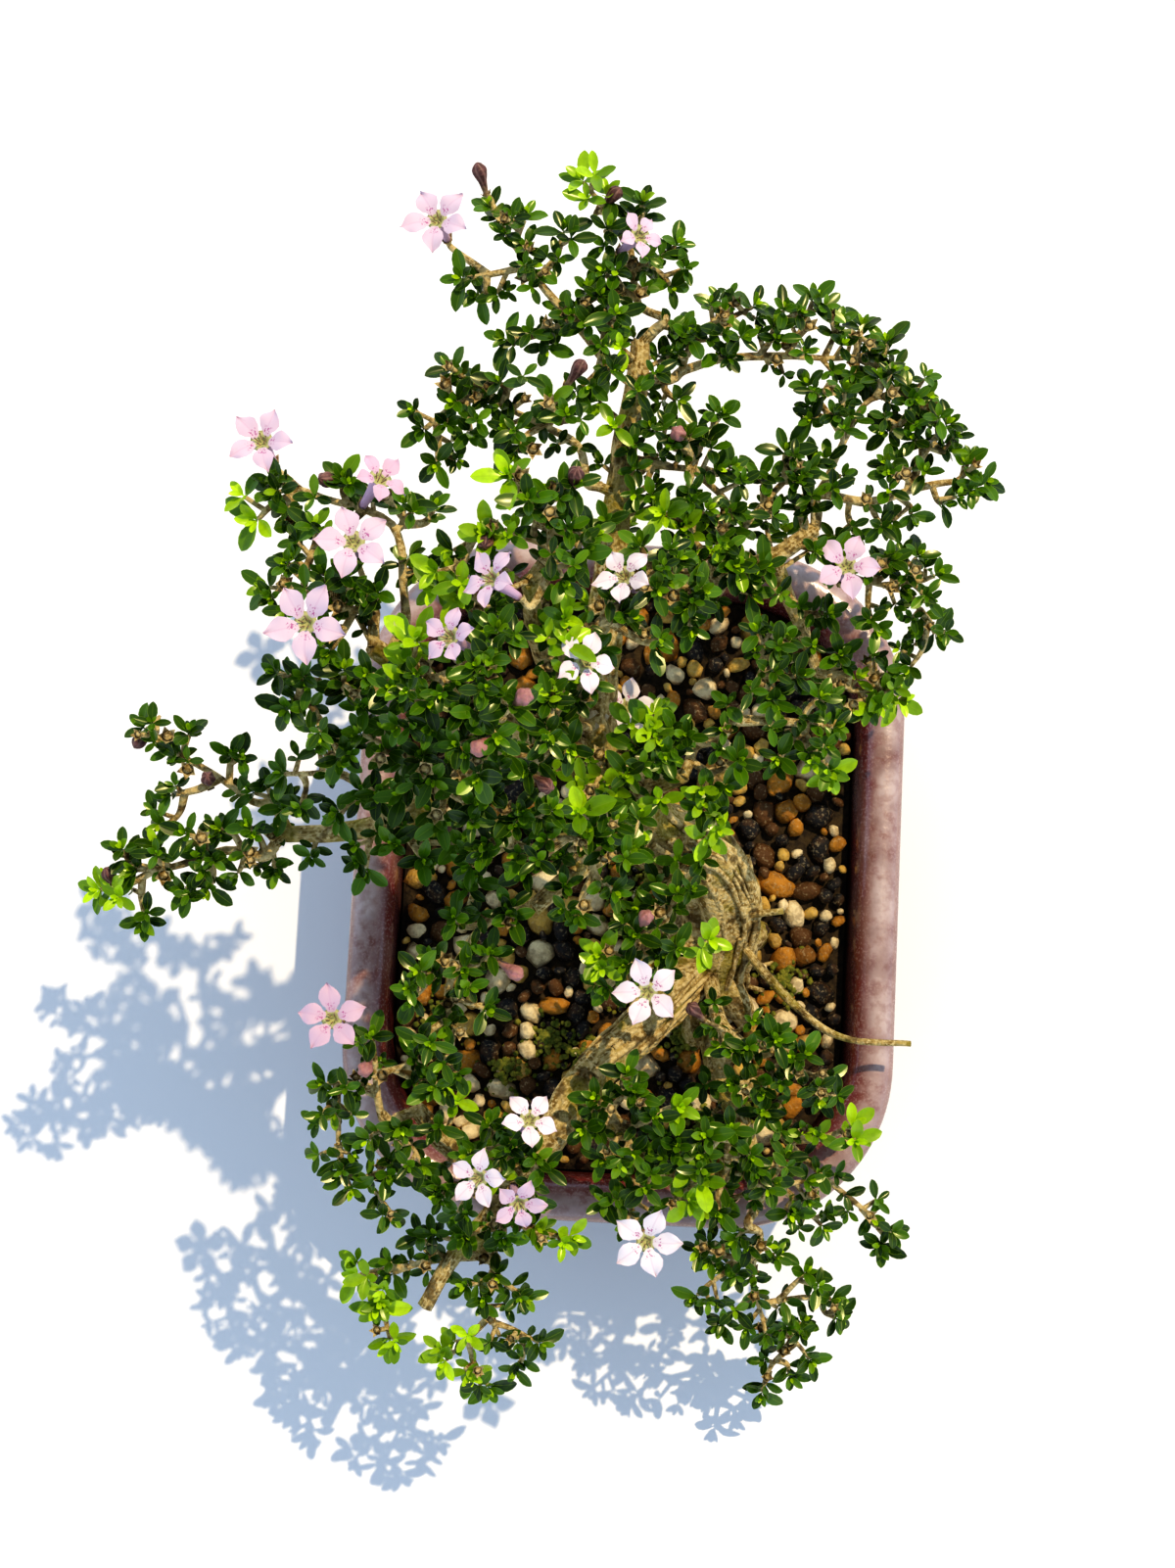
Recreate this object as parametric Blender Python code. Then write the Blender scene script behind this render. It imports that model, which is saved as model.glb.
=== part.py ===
# Serissa bonsai in a glazed pot with rounded corners, read from a photo taken from above.
# Lengths are metres and +Z is up, unless a name ends in _MM.
import math
import random

import bmesh
import bpy
from mathutils import Vector
from mathutils.bvhtree import BVHTree

MM = 0.001
SEED = 41

# Clear space between nodes, round a stem in its hole, and in the tests that bend pieces clear
GAP = 0.0003
HOLE_GAP = 0.0005
CLEARANCE = 0.00035

# Pot: its outline at the lip, and (inset, height) down the wall, over the lip and inside
POT_HALF_X = 0.053
POT_HALF_Y = 0.066
POT_CORNER = 0.032
CORNER_LOSS = 0.62
POT_HEIGHT = 0.048
POT_CORNER_STEPS = 5
FINE_CORNER_STEPS = 24
POT_PROFILE_MM = [
    (11.0, 3.0), (9.4, 4.6), (6.6, 20.0), (3.6, 34.0), (2.4, 39.6), (0.5, 41.6),
    (0.0, 44.4), (1.0, 47.0), (3.6, 48.0), (6.6, 47.2), (8.2, 44.8), (8.6, 40.5),
    (9.6, 28.0), (12.4, 9.6), (15.0, 8.0),
]
DRAIN_RADIUS = 0.006
DRAIN_SPACING = 0.050
DRAIN_REACH = 0.012
DRAIN_SIDES = 16

# Feet: how far from the middle, their outline, and (size, height) up their side
FOOT_X = 0.029
FOOT_Y = 0.042
FOOT_OUTLINE = ((1, .6), (.6, 1), (-.6, 1), (-1, .6), (-1, -.6), (-.6, -1), (.6, -1), (1, -.6))
FOOT_LEVELS = ((0.0085, 0.0), (0.0095, 0.0012), (0.0095, 0.0055))

# Soil: (inset, height) up its side, a low mound at the trunk, and a honeycomb of pebbles
SOIL_PROFILE_MM = [(15.7, 8.5), (13.1, 10.3), (10.3, 28.0), (9.3, 44.0)]
SOIL_TOP = 0.0385
SOIL_STEPS = 32
MOUND_MIDDLE = (0.012, -0.012)
MOUND_RISE = 0.0014
MOUND_SPREAD = 0.0346
PEBBLE_SIZE = 0.0132
PEBBLE_CELLS = 7
PEBBLE_RISE = 0.0024
PEBBLE_UNEVEN = 0.3
PEBBLE_VALLEY = 0.0009
PEBBLE_JITTER = 0.22
PEBBLE_PHASES = ((12.9, 78.2), (39.3, 11.1), (24.7, 51.3))
BLOCK_DEPTH = 0.060

# Wood: limbs over THICK_MM and STOUT_MM at their start get more sides
THICK_MM = 8.0
STOUT_MM = 3.0
ROOT_RADII = (0.0040, 0.0018)
ROOT_SIDES = 6
BARE_RADII = (0.0010, 0.0007)
SLIM_SIDES = 4
HOLE_RINGS = 4
STUB_RADIUS = 0.0010
STUB_STANDS_OUT = 0.0016
STUB_AHEAD = 0.5
STUB_ASIDE = 0.9
LEAST_ASIDE = 0.35

# Twigs
TWIG_RADIUS = 0.0008
TWIG_END = 0.0006
TWIG_SIDES = 3
STALK_RADIUS = 0.0010
ARM_RADIUS = 0.0011
BLOOM_STALK_RADIUS = 0.0009
BLOOM_STALK = 0.003
LEAD_OUT = 0.003
BRANCH_BACK = 0.45
FORK_MOST = 0.008
TIP_FORK_MOST = 0.006
BEND = 0.0012
SHAKE = 0.0007
STRAIGHT_TRIES = 2
ARM_TRIES = 24

# Rosettes of leaves at the tips
LEAF_LENGTH = 0.0061
LEAF_WIDTH = 0.0030
LEAF_THICK = 0.0010
LEAF_WIDEST = 0.56
LEAF_KEEL = 0.50
LEAF_LIFT = 0.35
FOUR_LEAVES = 0.10
SPREAD_DEGREES = (55, 80)
TIP_SCALE = (0.92, 1.12)
TIP_SHRINK = 0.018
TIP_SHAKE = 0.0004
TIP_TRIES = 30
SHORTEST_TIP = 0.0025
HEAD_LENGTH = 0.0015
CROWN_RISE = 0.0007
MOST_TIPS = 4

# Buds, as (share of the length back from the end, radius) along the club
BUD_LENGTH = 0.0062
BUD_RADIUS = 0.0012
BUD_SHAPE = ((1.0, 0.00072), (0.35, 0.0012), (0.1, 0.00096), (0.0, 0.0003))
BUD_LIFT = 0.35
BUD_SIDES = 3
BUD_SHAKE = 0.001
BUD_TRIES = 20

# Blooms: five lobes, each as (degrees, radius and rise in widths)
BLOOM_WIDTH = 0.0112
BLOOM_TUBE = 0.0075
BLOOM_NECK = 0.0008
BLOOM_THROAT = 0.0011
BLOOM_LIP = 0.0010
PETAL_THICK = 0.0007
LOBES = 5
LOBE_SHAPE = ((-36, 0.19, 0.0), (-21, 0.40, 0.055), (0, 0.52, 0.01), (21, 0.40, 0.055))

# How the photo is read: a point is (x, y) in its pixels with a height in mm.
FOCAL_PX = 2223.0
IMAGE_MID = (600.0, 800.5)
RIM_PX_PER_MM = 5.3
RIM_MID_PX = (640.0, 895.0)
LEAN = math.radians(7.0)
TURN = math.radians(2.9)

# Wood routes in the photo, as (x, y, height in mm), with the radii in mm at both ends
LIMBS = {
    "bole": ([(728, 1000, 27), (722, 985, 42), (735, 925, 54), (716, 872, 64), (664, 850, 72),
              (628, 806, 82), (592, 726, 92)], 8.6, 4.6),
    "left": ([(622, 800, 82), (580, 770, 96), (530, 742, 110), (480, 720, 122), (430, 692, 131),
              (380, 660, 137)], 3.8, 1.5),
    "far_left": ([(530, 742, 110), (470, 798, 108), (400, 838, 104), (340, 850, 101),
                  (292, 851, 98)], 2.3, 1.3),
    "top": ([(604, 760, 88), (612, 700, 94), (620, 620, 100), (628, 540, 104), (638, 460, 108),
             (652, 385, 112), (655, 350, 112)], 3.4, 1.5),
    "apex": ([(592, 735, 91), (572, 700, 110), (549, 645, 130), (541, 592, 142)], 2.6, 1.3),
    "right": ([(626, 560, 103), (680, 590, 101), (730, 591, 98), (790, 568, 97), (832, 540, 96)],
              2.2, 1.3),
    "over_rim": ([(790, 568, 97), (806, 612, 88), (822, 652, 80), (835, 688, 74)], 1.3, 1.0),
    "middle": ([(634, 812, 81), (665, 804, 92), (698, 793, 98)], 1.9, 1.3),
    "front": ([(664, 850, 72), (628, 862, 90), (585, 893, 102), (545, 927, 104)], 2.3, 1.4),
    "lower": ([(716, 985, 48), (660, 1045, 60), (600, 1102, 68), (555, 1165, 73), (505, 1195, 76),
               (458, 1168, 80), (425, 1132, 84)], 4.4, 1.5),
    "bottom": ([(540, 1178, 74), (508, 1228, 72), (482, 1272, 68)], 2.2, 1.4),
    "cut_stub": ([(500, 1240, 71), (462, 1285, 68), (434, 1334, 66)], 1.5, 1.4),
    "centre_low": ([(600, 1102, 68), (632, 1160, 70), (680, 1193, 68), (732, 1200, 64)], 2.4, 1.4),
    "right_low": ([(718, 990, 46), (724, 1050, 54), (742, 1112, 62), (764, 1172, 63),
                   (775, 1224, 60)], 3.0, 1.5),
    "side_low": ([(722, 985, 46), (736, 1045, 66), (775, 1078, 70)], 1.6, 1.1),
    "heart": ([(716, 872, 64), (690, 900, 76), (668, 945, 84)], 1.6, 1.1),
}
ROOTS = [
    [(724, 985, 46), (752, 1022, 44), (766, 1050, 35)],
    [(724, 985, 46), (712, 1040, 44), (704, 1078, 35)],
    [(724, 985, 46), (688, 1002, 44), (664, 1012, 35)],
    [(726, 980, 48), (762, 958, 44), (784, 952, 35)],
]

# Leafy stems: the point on the wood where each starts, its arms, its buds and its blooms.
# A bloom is (x, y, height, way it tips in x and y, width factor).
STEMS = [
    dict(at=(648, 375, 112), most=8, arms=[
        [(600, 345, 113), (560, 300, 115), (528, 255, 116), (503, 215, 116)],
        [(575, 238, 118)], [(474, 285, 114)], [(518, 347, 112)], [(600, 298, 116)],
        [(558, 352, 112)], [(492, 302, 112)], [(535, 225, 119)], [(545, 275, 118)]],
        buds=[(487, 166, 120)], blooms=[(446, 224, 119, -0.2, 0.1, 1.0)]),
    dict(at=(654, 352, 112), most=8, arms=[
        [(652, 310, 112), (645, 262, 111), (642, 228, 112)],
        [(596, 186, 115)], [(690, 252, 110)], [(684, 292, 108)], [(656, 210, 113)],
        [(618, 280, 116)], [(602, 330, 116)], [(692, 338, 113)], [(628, 322, 118)],
        [(604, 392, 117)], [(620, 235, 115)]],
        buds=[(634, 192, 116)], blooms=[(654, 240, 121, 0.5, 0.1, 0.7)]),
    dict(at=(652, 385, 112), most=8, arms=[
        [(700, 378, 109), (745, 366, 107), (800, 364, 103), (850, 366, 99), (885, 362, 97)],
        [(706, 345, 113)], [(737, 322, 112)], [(768, 314, 110)], [(792, 338, 107)],
        [(830, 308, 104)], [(856, 332, 101)], [(880, 336, 98)], [(912, 376, 95)],
        [(905, 352, 96)], [(870, 392, 95)], [(800, 318, 108)], [(755, 345, 111)],
        [(690, 408, 108)]], buds=[], blooms=[]),
    dict(at=(822, 546, 96), arms=[
        [(838, 500, 98), (862, 450, 99), (884, 412, 99), (912, 402, 98)],
        [(942, 405, 97)], [(928, 428, 96)], [(826, 395, 102)], [(862, 402, 101)],
        [(830, 428, 100)], [(908, 440, 96)], [(824, 512, 99)], [(898, 388, 100)]],
        buds=[], blooms=[]),
    dict(at=(834, 539, 96), most=8, arms=[
        [(890, 512, 95), (940, 497, 94), (975, 492, 93), (1003, 492, 93)],
        [(942, 466, 97), (965, 436, 98)], [(934, 450, 98)], [(966, 462, 96)], [(908, 476, 97)],
        [(930, 524, 91)], [(872, 544, 91)], [(898, 532, 91)], [(960, 514, 91)],
        [(984, 476, 94)]], buds=[], blooms=[]),
    dict(at=(745, 588, 98), arms=[
        [(758, 540, 101), (785, 508, 102), (808, 484, 102)],
        [(802, 464, 103)], [(826, 474, 101)], [(776, 488, 103)], [(792, 520, 99)]],
        buds=[], blooms=[]),
    dict(at=(637, 468, 107), arms=[
        [(690, 478, 110), (728, 480, 108)],
        [(735, 426, 110)], [(748, 520, 104)], [(722, 450, 110)], [(700, 448, 113)],
        [(702, 512, 109)], [(738, 545, 104)], [(668, 440, 112)], [(745, 480, 107)],
        [(665, 505, 110)]],
        buds=[(690, 440, 117)], blooms=[]),
    dict(at=(826, 545, 96), arms=[
        [(868, 588, 88), (918, 602, 86)],
        [(954, 588, 86)], [(936, 570, 88)], [(908, 572, 90)], [(940, 628, 82)],
        [(954, 646, 80)], [(930, 680, 78)], [(894, 640, 84)]],
        buds=[], blooms=[(865, 578, 100, 0.0, 0.1, 1.0)]),
    dict(at=(834, 686, 74), arms=[
        [(868, 704, 73), (900, 706, 71)],
        [(905, 688, 72)], [(915, 714, 69)], [(884, 722, 70)], [(848, 716, 70)],
        [(858, 670, 77)]], buds=[], blooms=[]),
    dict(at=(697, 793, 98), most=8, arms=[
        [(738, 752, 102), (768, 705, 104), (785, 668, 104)],
        [(774, 648, 106)], [(800, 656, 105)], [(812, 690, 102)],
        [(812, 738, 98), (850, 742, 95)], [(836, 714, 99)], [(826, 766, 94)],
        [(796, 772, 95)], [(846, 788, 90)], [(738, 802, 97)], [(752, 778, 98)],
        [(722, 852, 92)], [(718, 824, 95)], [(702, 752, 106)], [(790, 716, 103)]],
        buds=[], blooms=[]),
    dict(at=(660, 806, 91), arms=[
        [(664, 742, 106)], [(690, 746, 105)], [(650, 765, 106)], [(602, 812, 108)],
        [(640, 790, 108)], [(678, 770, 106)], [(622, 830, 106)], [(676, 764, 84), (662, 734, 66)]],
        buds=[], blooms=[(641, 722, 76, 0.1, 0.0, 0.9)]),
    dict(at=(632, 505, 106), arms=[
        [(590, 455, 113), (545, 430, 117), (500, 408, 119)],
        [(463, 378, 120)], [(512, 392, 122)], [(434, 438, 117)], [(446, 472, 115)],
        [(562, 412, 120)], [(480, 440, 118)], [(528, 462, 117)], [(466, 410, 119)],
        [(578, 425, 121)], [(520, 440, 120)]], buds=[(597, 368, 124)], blooms=[]),
    dict(at=(541, 594, 142), arms=[
        [(545, 545, 148), (560, 508, 152)],
        [(520, 488, 153)], [(584, 496, 154)], [(604, 546, 149)], [(540, 512, 155)],
        [(498, 545, 149)], [(464, 562, 144)], [(468, 606, 146)], [(492, 640, 148)],
        [(574, 590, 148)], [(590, 566, 149)], [(448, 600, 142)]],
        buds=[(590, 478, 157), (494, 558, 151)], blooms=[(500, 590, 156, -0.75, 0.25, 0.8)]),
    dict(at=(551, 650, 128), arms=[
        [(590, 640, 128), (640, 633, 124)],
        [(690, 574, 123)], [(712, 604, 121)], [(706, 640, 119)], [(666, 658, 121)],
        [(668, 600, 126)], [(700, 618, 122)], [(576, 632, 138)], [(655, 560, 124)]],
        buds=[], blooms=[(637, 588, 130, -0.35, 0.2, 0.85)]),
    dict(at=(722, 592, 99), arms=[
        [(700, 540, 109)], [(735, 552, 107)], [(748, 576, 105)], [(764, 606, 97)],
        [(720, 522, 109)], [(680, 526, 111)], [(780, 580, 101)], [(712, 568, 108)]],
        buds=[], blooms=[]),
    dict(at=(382, 661, 137), arms=[
        [(352, 622, 140), (332, 590, 141)],
        [(275, 600, 137)], [(302, 572, 139)], [(338, 664, 138)], [(322, 540, 139)],
        [(385, 606, 143)], [(352, 590, 143)]],
        buds=[], blooms=[(312, 636, 148, -0.15, -0.05, 1.05), (361, 553, 147, 0.0, 0.15, 1.0)]),
    dict(at=(400, 672, 136), arms=[
        [(412, 600, 138), (400, 536, 138), (330, 508, 136), (290, 494, 134)],
        [(264, 530, 133)], [(300, 536, 134)], [(350, 492, 138)], [(412, 518, 138)],
        [(442, 522, 134)], [(276, 502, 134)], [(430, 580, 137)]],
        buds=[(326, 488, 141)],
        blooms=[(267, 450, 139, -0.15, 0.2, 0.9), (389, 488, 146, 0.55, 0.55, 0.75)]),
    dict(at=(412, 680, 133), arms=[
        [(352, 702, 134)],
        [(284, 688, 133)], [(296, 722, 131)], [(326, 746, 129)], [(352, 686, 138)],
        [(372, 722, 133)], [(346, 772, 125)], [(318, 700, 134)]], buds=[], blooms=[]),
    dict(at=(440, 697, 130), arms=[
        [(402, 704, 146)], [(426, 656, 150)], [(380, 690, 144)], [(440, 742, 145)],
        [(462, 696, 151)], [(410, 740, 142)], [(436, 715, 150)]],
        buds=[], blooms=[(458, 650, 157, -0.5, 0.1, 0.75)]),
    dict(at=(490, 723, 120), arms=[
        [(472, 728, 152)], [(500, 684, 155)], [(520, 722, 152)], [(488, 790, 145)],
        [(508, 645, 153)], [(505, 750, 151)], [(470, 760, 148)]],
        buds=[(483, 768, 153), (539, 708, 157)], blooms=[]),
    dict(at=(548, 752, 106), arms=[
        [(560, 716, 140)], [(582, 762, 136)], [(540, 786, 136)], [(578, 660, 140)],
        [(602, 700, 132)], [(560, 745, 141)], [(520, 770, 141)]],
        buds=[(562, 806, 140)], blooms=[(597, 676, 140, 0.3, 0.1, 0.85)]),
    dict(at=(470, 799, 108), arms=[
        [(432, 772, 134)], [(396, 768, 130)], [(450, 838, 124)], [(482, 820, 130)],
        [(412, 812, 124)], [(504, 802, 132)], [(440, 795, 134)], [(370, 750, 130)]],
        buds=[], blooms=[]),
    dict(at=(398, 838, 104), arms=[
        [(352, 792, 119), (292, 790, 112)], [(326, 766, 116)], [(374, 886, 105)],
        [(430, 876, 112)], [(346, 828, 114)], [(400, 862, 112)], [(468, 862, 114)],
        [(312, 815, 110)], [(385, 810, 120)]], buds=[], blooms=[]),
    dict(at=(296, 851, 98), most=8, arms=[
        [(258, 818, 99), (218, 790, 98), (176, 768, 97)],
        [(204, 806, 99), (176, 812, 98)], [(170, 842, 96)], [(236, 772, 100)], [(148, 744, 97)],
        [(192, 750, 99)], [(290, 825, 102)], [(275, 805, 101)]],
        buds=[(137, 764, 96), (212, 792, 103)], blooms=[]),
    dict(at=(290, 851, 98), most=8, arms=[
        [(232, 868, 97), (176, 885, 96), (140, 888, 96)],
        [(256, 845, 103)], [(282, 886, 95)], [(244, 890, 96)], [(214, 906, 94)],
        [(192, 852, 100)], [(104, 908, 93)], [(148, 938, 91)], [(160, 866, 98)],
        [(126, 868, 97)], [(190, 908, 93)], [(228, 848, 101)]],
        buds=[(108, 886, 96)], blooms=[]),
    dict(at=(588, 890, 101), most=8, arms=[
        [(600, 850, 122)], [(642, 868, 113)], [(560, 858, 122)], [(624, 908, 108)],
        [(652, 838, 112)], [(540, 888, 118)], [(590, 932, 108)], [(500, 862, 124)],
        [(524, 832, 128)], [(562, 828, 128)], [(482, 884, 117)], [(592, 830, 124)],
        [(626, 842, 120)]], buds=[], blooms=[]),
    dict(at=(548, 925, 104), arms=[
        [(482, 958, 101), (458, 1010, 97), (462, 1060, 93), (455, 1108, 90)],
        [(465, 938, 105)], [(430, 992, 100)], [(424, 1018, 98)], [(474, 990, 104)],
        [(522, 936, 108)], [(495, 1030, 98)], [(486, 900, 107)], [(430, 1060, 96)],
        [(500, 975, 104)]],
        buds=[(533, 998, 106)], blooms=[]),
    dict(at=(670, 942, 84), arms=[
        [(640, 985, 89)], [(690, 968, 89)], [(722, 960, 87)], [(614, 975, 89)],
        [(622, 1008, 86)], [(690, 914, 92)], [(680, 990, 87)], [(650, 955, 92)]],
        buds=[(662, 932, 97)], blooms=[(661, 1013, 98, 0.0, 0.0, 1.0)]),
    dict(at=(773, 1077, 70), arms=[
        [(812, 1090, 71), (842, 1102, 71)],
        [(792, 1062, 77)], [(780, 1110, 73)], [(750, 1072, 77)], [(820, 1078, 74)],
        [(836, 1118, 69)], [(752, 1106, 75)]], buds=[(704, 1026, 86)], blooms=[]),
    dict(at=(427, 1134, 84), most=8, arms=[
        [(380, 1110, 88), (334, 1106, 88)], [(380, 1060, 93)], [(342, 1132, 86)],
        [(424, 1082, 92)], [(408, 1150, 87)], [(442, 1108, 91)], [(346, 1182, 82)],
        [(358, 1212, 80)], [(398, 1238, 77)], [(430, 1188, 84)], [(378, 1162, 85)],
        [(395, 1200, 82)]],
        buds=[(371, 1096, 97)], blooms=[(339, 1040, 100, -0.1, 0.1, 1.0)]),
    dict(at=(510, 1193, 76), arms=[
        [(520, 1172, 88)], [(478, 1180, 88)], [(556, 1192, 84)], [(468, 1238, 80)],
        [(450, 1212, 83)], [(500, 1150, 88)], [(545, 1225, 80)]],
        buds=[], blooms=[(541, 1143, 94, 0.2, 0.3, 0.85), (488, 1203, 95, -0.3, -0.1, 0.85),
                         (530, 1230, 91, 0.2, -0.4, 0.8)]),
    dict(at=(506, 1230, 72), arms=[
        [(545, 1252, 74)], [(580, 1262, 72)], [(530, 1236, 78)], [(476, 1262, 75)],
        [(515, 1262, 75)]], buds=[], blooms=[]),
    dict(at=(484, 1268, 68), most=8, arms=[
        [(494, 1325, 62), (510, 1364, 58)],
        [(440, 1286, 67), (402, 1300, 64)], [(366, 1302, 60)], [(384, 1332, 59)],
        [(398, 1366, 54)], [(456, 1388, 58)], [(498, 1414, 54)], [(550, 1370, 58)],
        [(534, 1322, 62)], [(478, 1312, 66)], [(528, 1396, 56)], [(478, 1400, 56)],
        [(430, 1262, 69)], [(505, 1300, 66)]], buds=[], blooms=[]),
    dict(at=(632, 1160, 70), arms=[
        [(610, 1122, 82)], [(640, 1098, 84)], [(666, 1142, 82)], [(618, 1182, 78)],
        [(692, 1130, 80)], [(598, 1152, 80)], [(650, 1120, 85)], [(645, 1175, 80)]],
        buds=[], blooms=[]),
    dict(at=(684, 1194, 68), arms=[
        [(702, 1226, 74)], [(620, 1226, 74)], [(692, 1172, 78)], [(660, 1212, 78)],
        [(638, 1248, 73)], [(715, 1205, 76)]],
        buds=[], blooms=[(660, 1268, 84, 0.0, -0.1, 1.05)]),
    dict(at=(732, 1200, 64), arms=[
        [(746, 1154, 76)], [(766, 1180, 72)], [(722, 1160, 79)], [(786, 1206, 66)],
        [(734, 1236, 68)], [(822, 1206, 61)], [(838, 1250, 54)], [(800, 1184, 64)],
        [(806, 1238, 58)], [(704, 1190, 77)]], buds=[], blooms=[]),
    dict(at=(775, 1224, 60), most=8, arms=[
        [(776, 1262, 60), (768, 1304, 50), (784, 1362, 33)],
        [(742, 1290, 52)], [(716, 1276, 58)], [(712, 1322, 51)], [(738, 1352, 44)],
        [(752, 1264, 60)], [(848, 1326, 38)], [(822, 1300, 46)], [(826, 1386, 26)],
        [(778, 1420, 22)], [(806, 1402, 25)], [(818, 1350, 34)], [(790, 1280, 52)],
        [(852, 1345, 36)]], buds=[], blooms=[]),
    dict(at=(744, 1120, 60), arms=[
        [(790, 1150, 60), (840, 1200, 56), (888, 1240, 51)],
        [(905, 1256, 49)], [(900, 1272, 48)], [(868, 1150, 62)], [(780, 1135, 66)]],
        buds=[], blooms=[]),
]

# Bare twigs with no leaves, part of the wood
BARE = [
    [(735, 932, 52), (770, 980, 55), (815, 1030, 57), (862, 1060, 58), (930, 1066, 58)],
    [(730, 950, 50), (765, 935, 58), (800, 930, 60)],
    [(604, 760, 90), (598, 742, 98), (576, 752, 106)],
]


# Reading points
def camera_axes():
    ahead = Vector((0.0, math.sin(LEAN), -math.cos(LEAN)))
    up = Vector((0.0, math.cos(LEAN), math.sin(LEAN)))
    side = Vector((1.0, 0.0, 0.0))
    c, s = math.cos(TURN), math.sin(TURN)
    return side * c + up * s, up * c - side * s, ahead


SIDE, UP, AHEAD = camera_axes()
EYE = (
    Vector((0, 0, POT_HEIGHT))
    - SIDE * ((RIM_MID_PX[0] - IMAGE_MID[0]) / RIM_PX_PER_MM * MM)
    + UP * ((RIM_MID_PX[1] - IMAGE_MID[1]) / RIM_PX_PER_MM * MM)
    - AHEAD * (FOCAL_PX / RIM_PX_PER_MM * MM)
)


def spot(point):
    """The place in space of a photo point with its height in mm."""
    x, y, height = point
    ray = AHEAD * FOCAL_PX + SIDE * (x - IMAGE_MID[0]) - UP * (y - IMAGE_MID[1])
    return EYE + ray * ((height * MM - EYE.z) / ray.z)


# Meshes
def material(name, colour, roughness, metallic=0.0):
    made = bpy.data.materials.new(name)
    made.use_nodes = True
    shader = made.node_tree.nodes["Principled BSDF"]
    shader.inputs["Base Color"].default_value = (*colour, 1.0)
    shader.inputs["Roughness"].default_value = roughness
    shader.inputs["Metallic"].default_value = metallic
    return made


def solid(name, piece, look=None, smooth=False):
    """An object of (points, faces) with its normals outward."""
    mesh = bpy.data.meshes.new(name)
    mesh.from_pydata([tuple(p) for p in piece[0]], [], piece[1])
    work = bmesh.new()
    work.from_mesh(mesh)
    bmesh.ops.recalc_face_normals(work, faces=work.faces)
    work.to_mesh(mesh)
    work.free()
    made = bpy.data.objects.new(name, mesh)
    bpy.context.scene.collection.objects.link(made)
    if look:
        mesh.materials.append(look)
    for face in mesh.polygons:
        face.use_smooth = smooth
    return made


def apply_boolean(target, others, operation):
    """Fuses or cuts the others with the target, then removes them."""
    group = bpy.data.collections.new("operands")
    bpy.context.scene.collection.children.link(group)
    for other in others:
        bpy.context.scene.collection.objects.unlink(other)
        group.objects.link(other)
    step = target.modifiers.new("step", "BOOLEAN")
    step.operation = operation
    step.solver = "MANIFOLD"
    step.operand_type = "COLLECTION"
    step.collection = group
    bpy.context.view_layer.update()
    graph = bpy.context.evaluated_depsgraph_get()
    fused = bpy.data.meshes.new_from_object(target.evaluated_get(graph))
    target.modifiers.clear()
    old = target.data
    target.data = fused
    bpy.data.meshes.remove(old)
    for other in others:
        mesh = other.data
        bpy.data.objects.remove(other)
        bpy.data.meshes.remove(mesh)
    bpy.data.collections.remove(group)


def linked_to(vertex, left):
    """The vertices that edges join to this one, taken out of those left."""
    body, edge = set(), [vertex]
    while edge:
        vertex = edge.pop()
        body.add(vertex)
        for link in vertex.link_edges:
            other = link.other_vert(vertex)
            if other in left:
                left.discard(other)
                edge.append(other)
    return body


def keep_largest(target):
    """Drops slivers that a union leaves where a leaf folds onto itself."""
    work = bmesh.new()
    work.from_mesh(target.data)
    left = set(work.verts)
    bodies = []
    while left:
        bodies.append(linked_to(left.pop(), left))
    bodies.sort(key=len)
    for body in bodies[:-1]:
        bmesh.ops.delete(work, geom=list(body), context="VERTS")
    work.to_mesh(target.data)
    work.free()


def fuse(name, pieces, look, smooth=False):
    whole = solid(name, pieces[0], look, smooth)
    rest = [solid(name + "_operand", piece, look, smooth) for piece in pieces[1:]]
    if rest:
        apply_boolean(whole, rest, "UNION")
        keep_largest(whole)
    return whole


# Rings and the bodies between them
def corner_ring(inset, z, steps=POT_CORNER_STEPS):
    """The pot's rounded oblong outline, this far in, at this height."""
    half_x = POT_HALF_X - inset
    half_y = POT_HALF_Y - inset
    radius = POT_CORNER - inset * CORNER_LOSS
    ring = []
    for quarter in range(4):
        mid_x = (half_x - radius) * (1 if quarter in (0, 3) else -1)
        mid_y = (half_y - radius) * (1 if quarter < 2 else -1)
        for step in range(steps + 1):
            angle = (quarter + step / steps) * math.pi / 2
            ring.append(Vector((mid_x + radius * math.cos(angle),
                                mid_y + radius * math.sin(angle), z)))
    return ring


def even_ring(inset, z, count):
    """The same outline with its points at even spacing."""
    dense = corner_ring(inset, z, FINE_CORNER_STEPS)
    lengths = [(dense[(i + 1) % len(dense)] - p).length for i, p in enumerate(dense)]
    total = sum(lengths)
    ring, index, walked = [], 0, 0.0
    for k in range(count):
        wanted = total * k / count
        while walked + lengths[index] < wanted:
            walked += lengths[index]
            index += 1
        share = (wanted - walked) / lengths[index]
        ring.append(dense[index].lerp(dense[(index + 1) % len(dense)], share))
    return ring


def loft(rings):
    """A closed body through rings of points."""
    count = len(rings[0])
    points = [p for ring in rings for p in ring]
    faces = [tuple(range(count)), tuple(range(len(points) - count, len(points)))]
    for r in range(len(rings) - 1):
        for k in range(count):
            a, b = r * count + k, r * count + (k + 1) % count
            faces.append((a, b, b + count, a + count))
    return points, faces


# Pot with a rolled lip, low feet and two drain holes
def build_foot(x, y):
    return loft([[Vector((x + dx * size, y + dy * size, z)) for dx, dy in FOOT_OUTLINE]
                 for size, z in FOOT_LEVELS])


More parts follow.
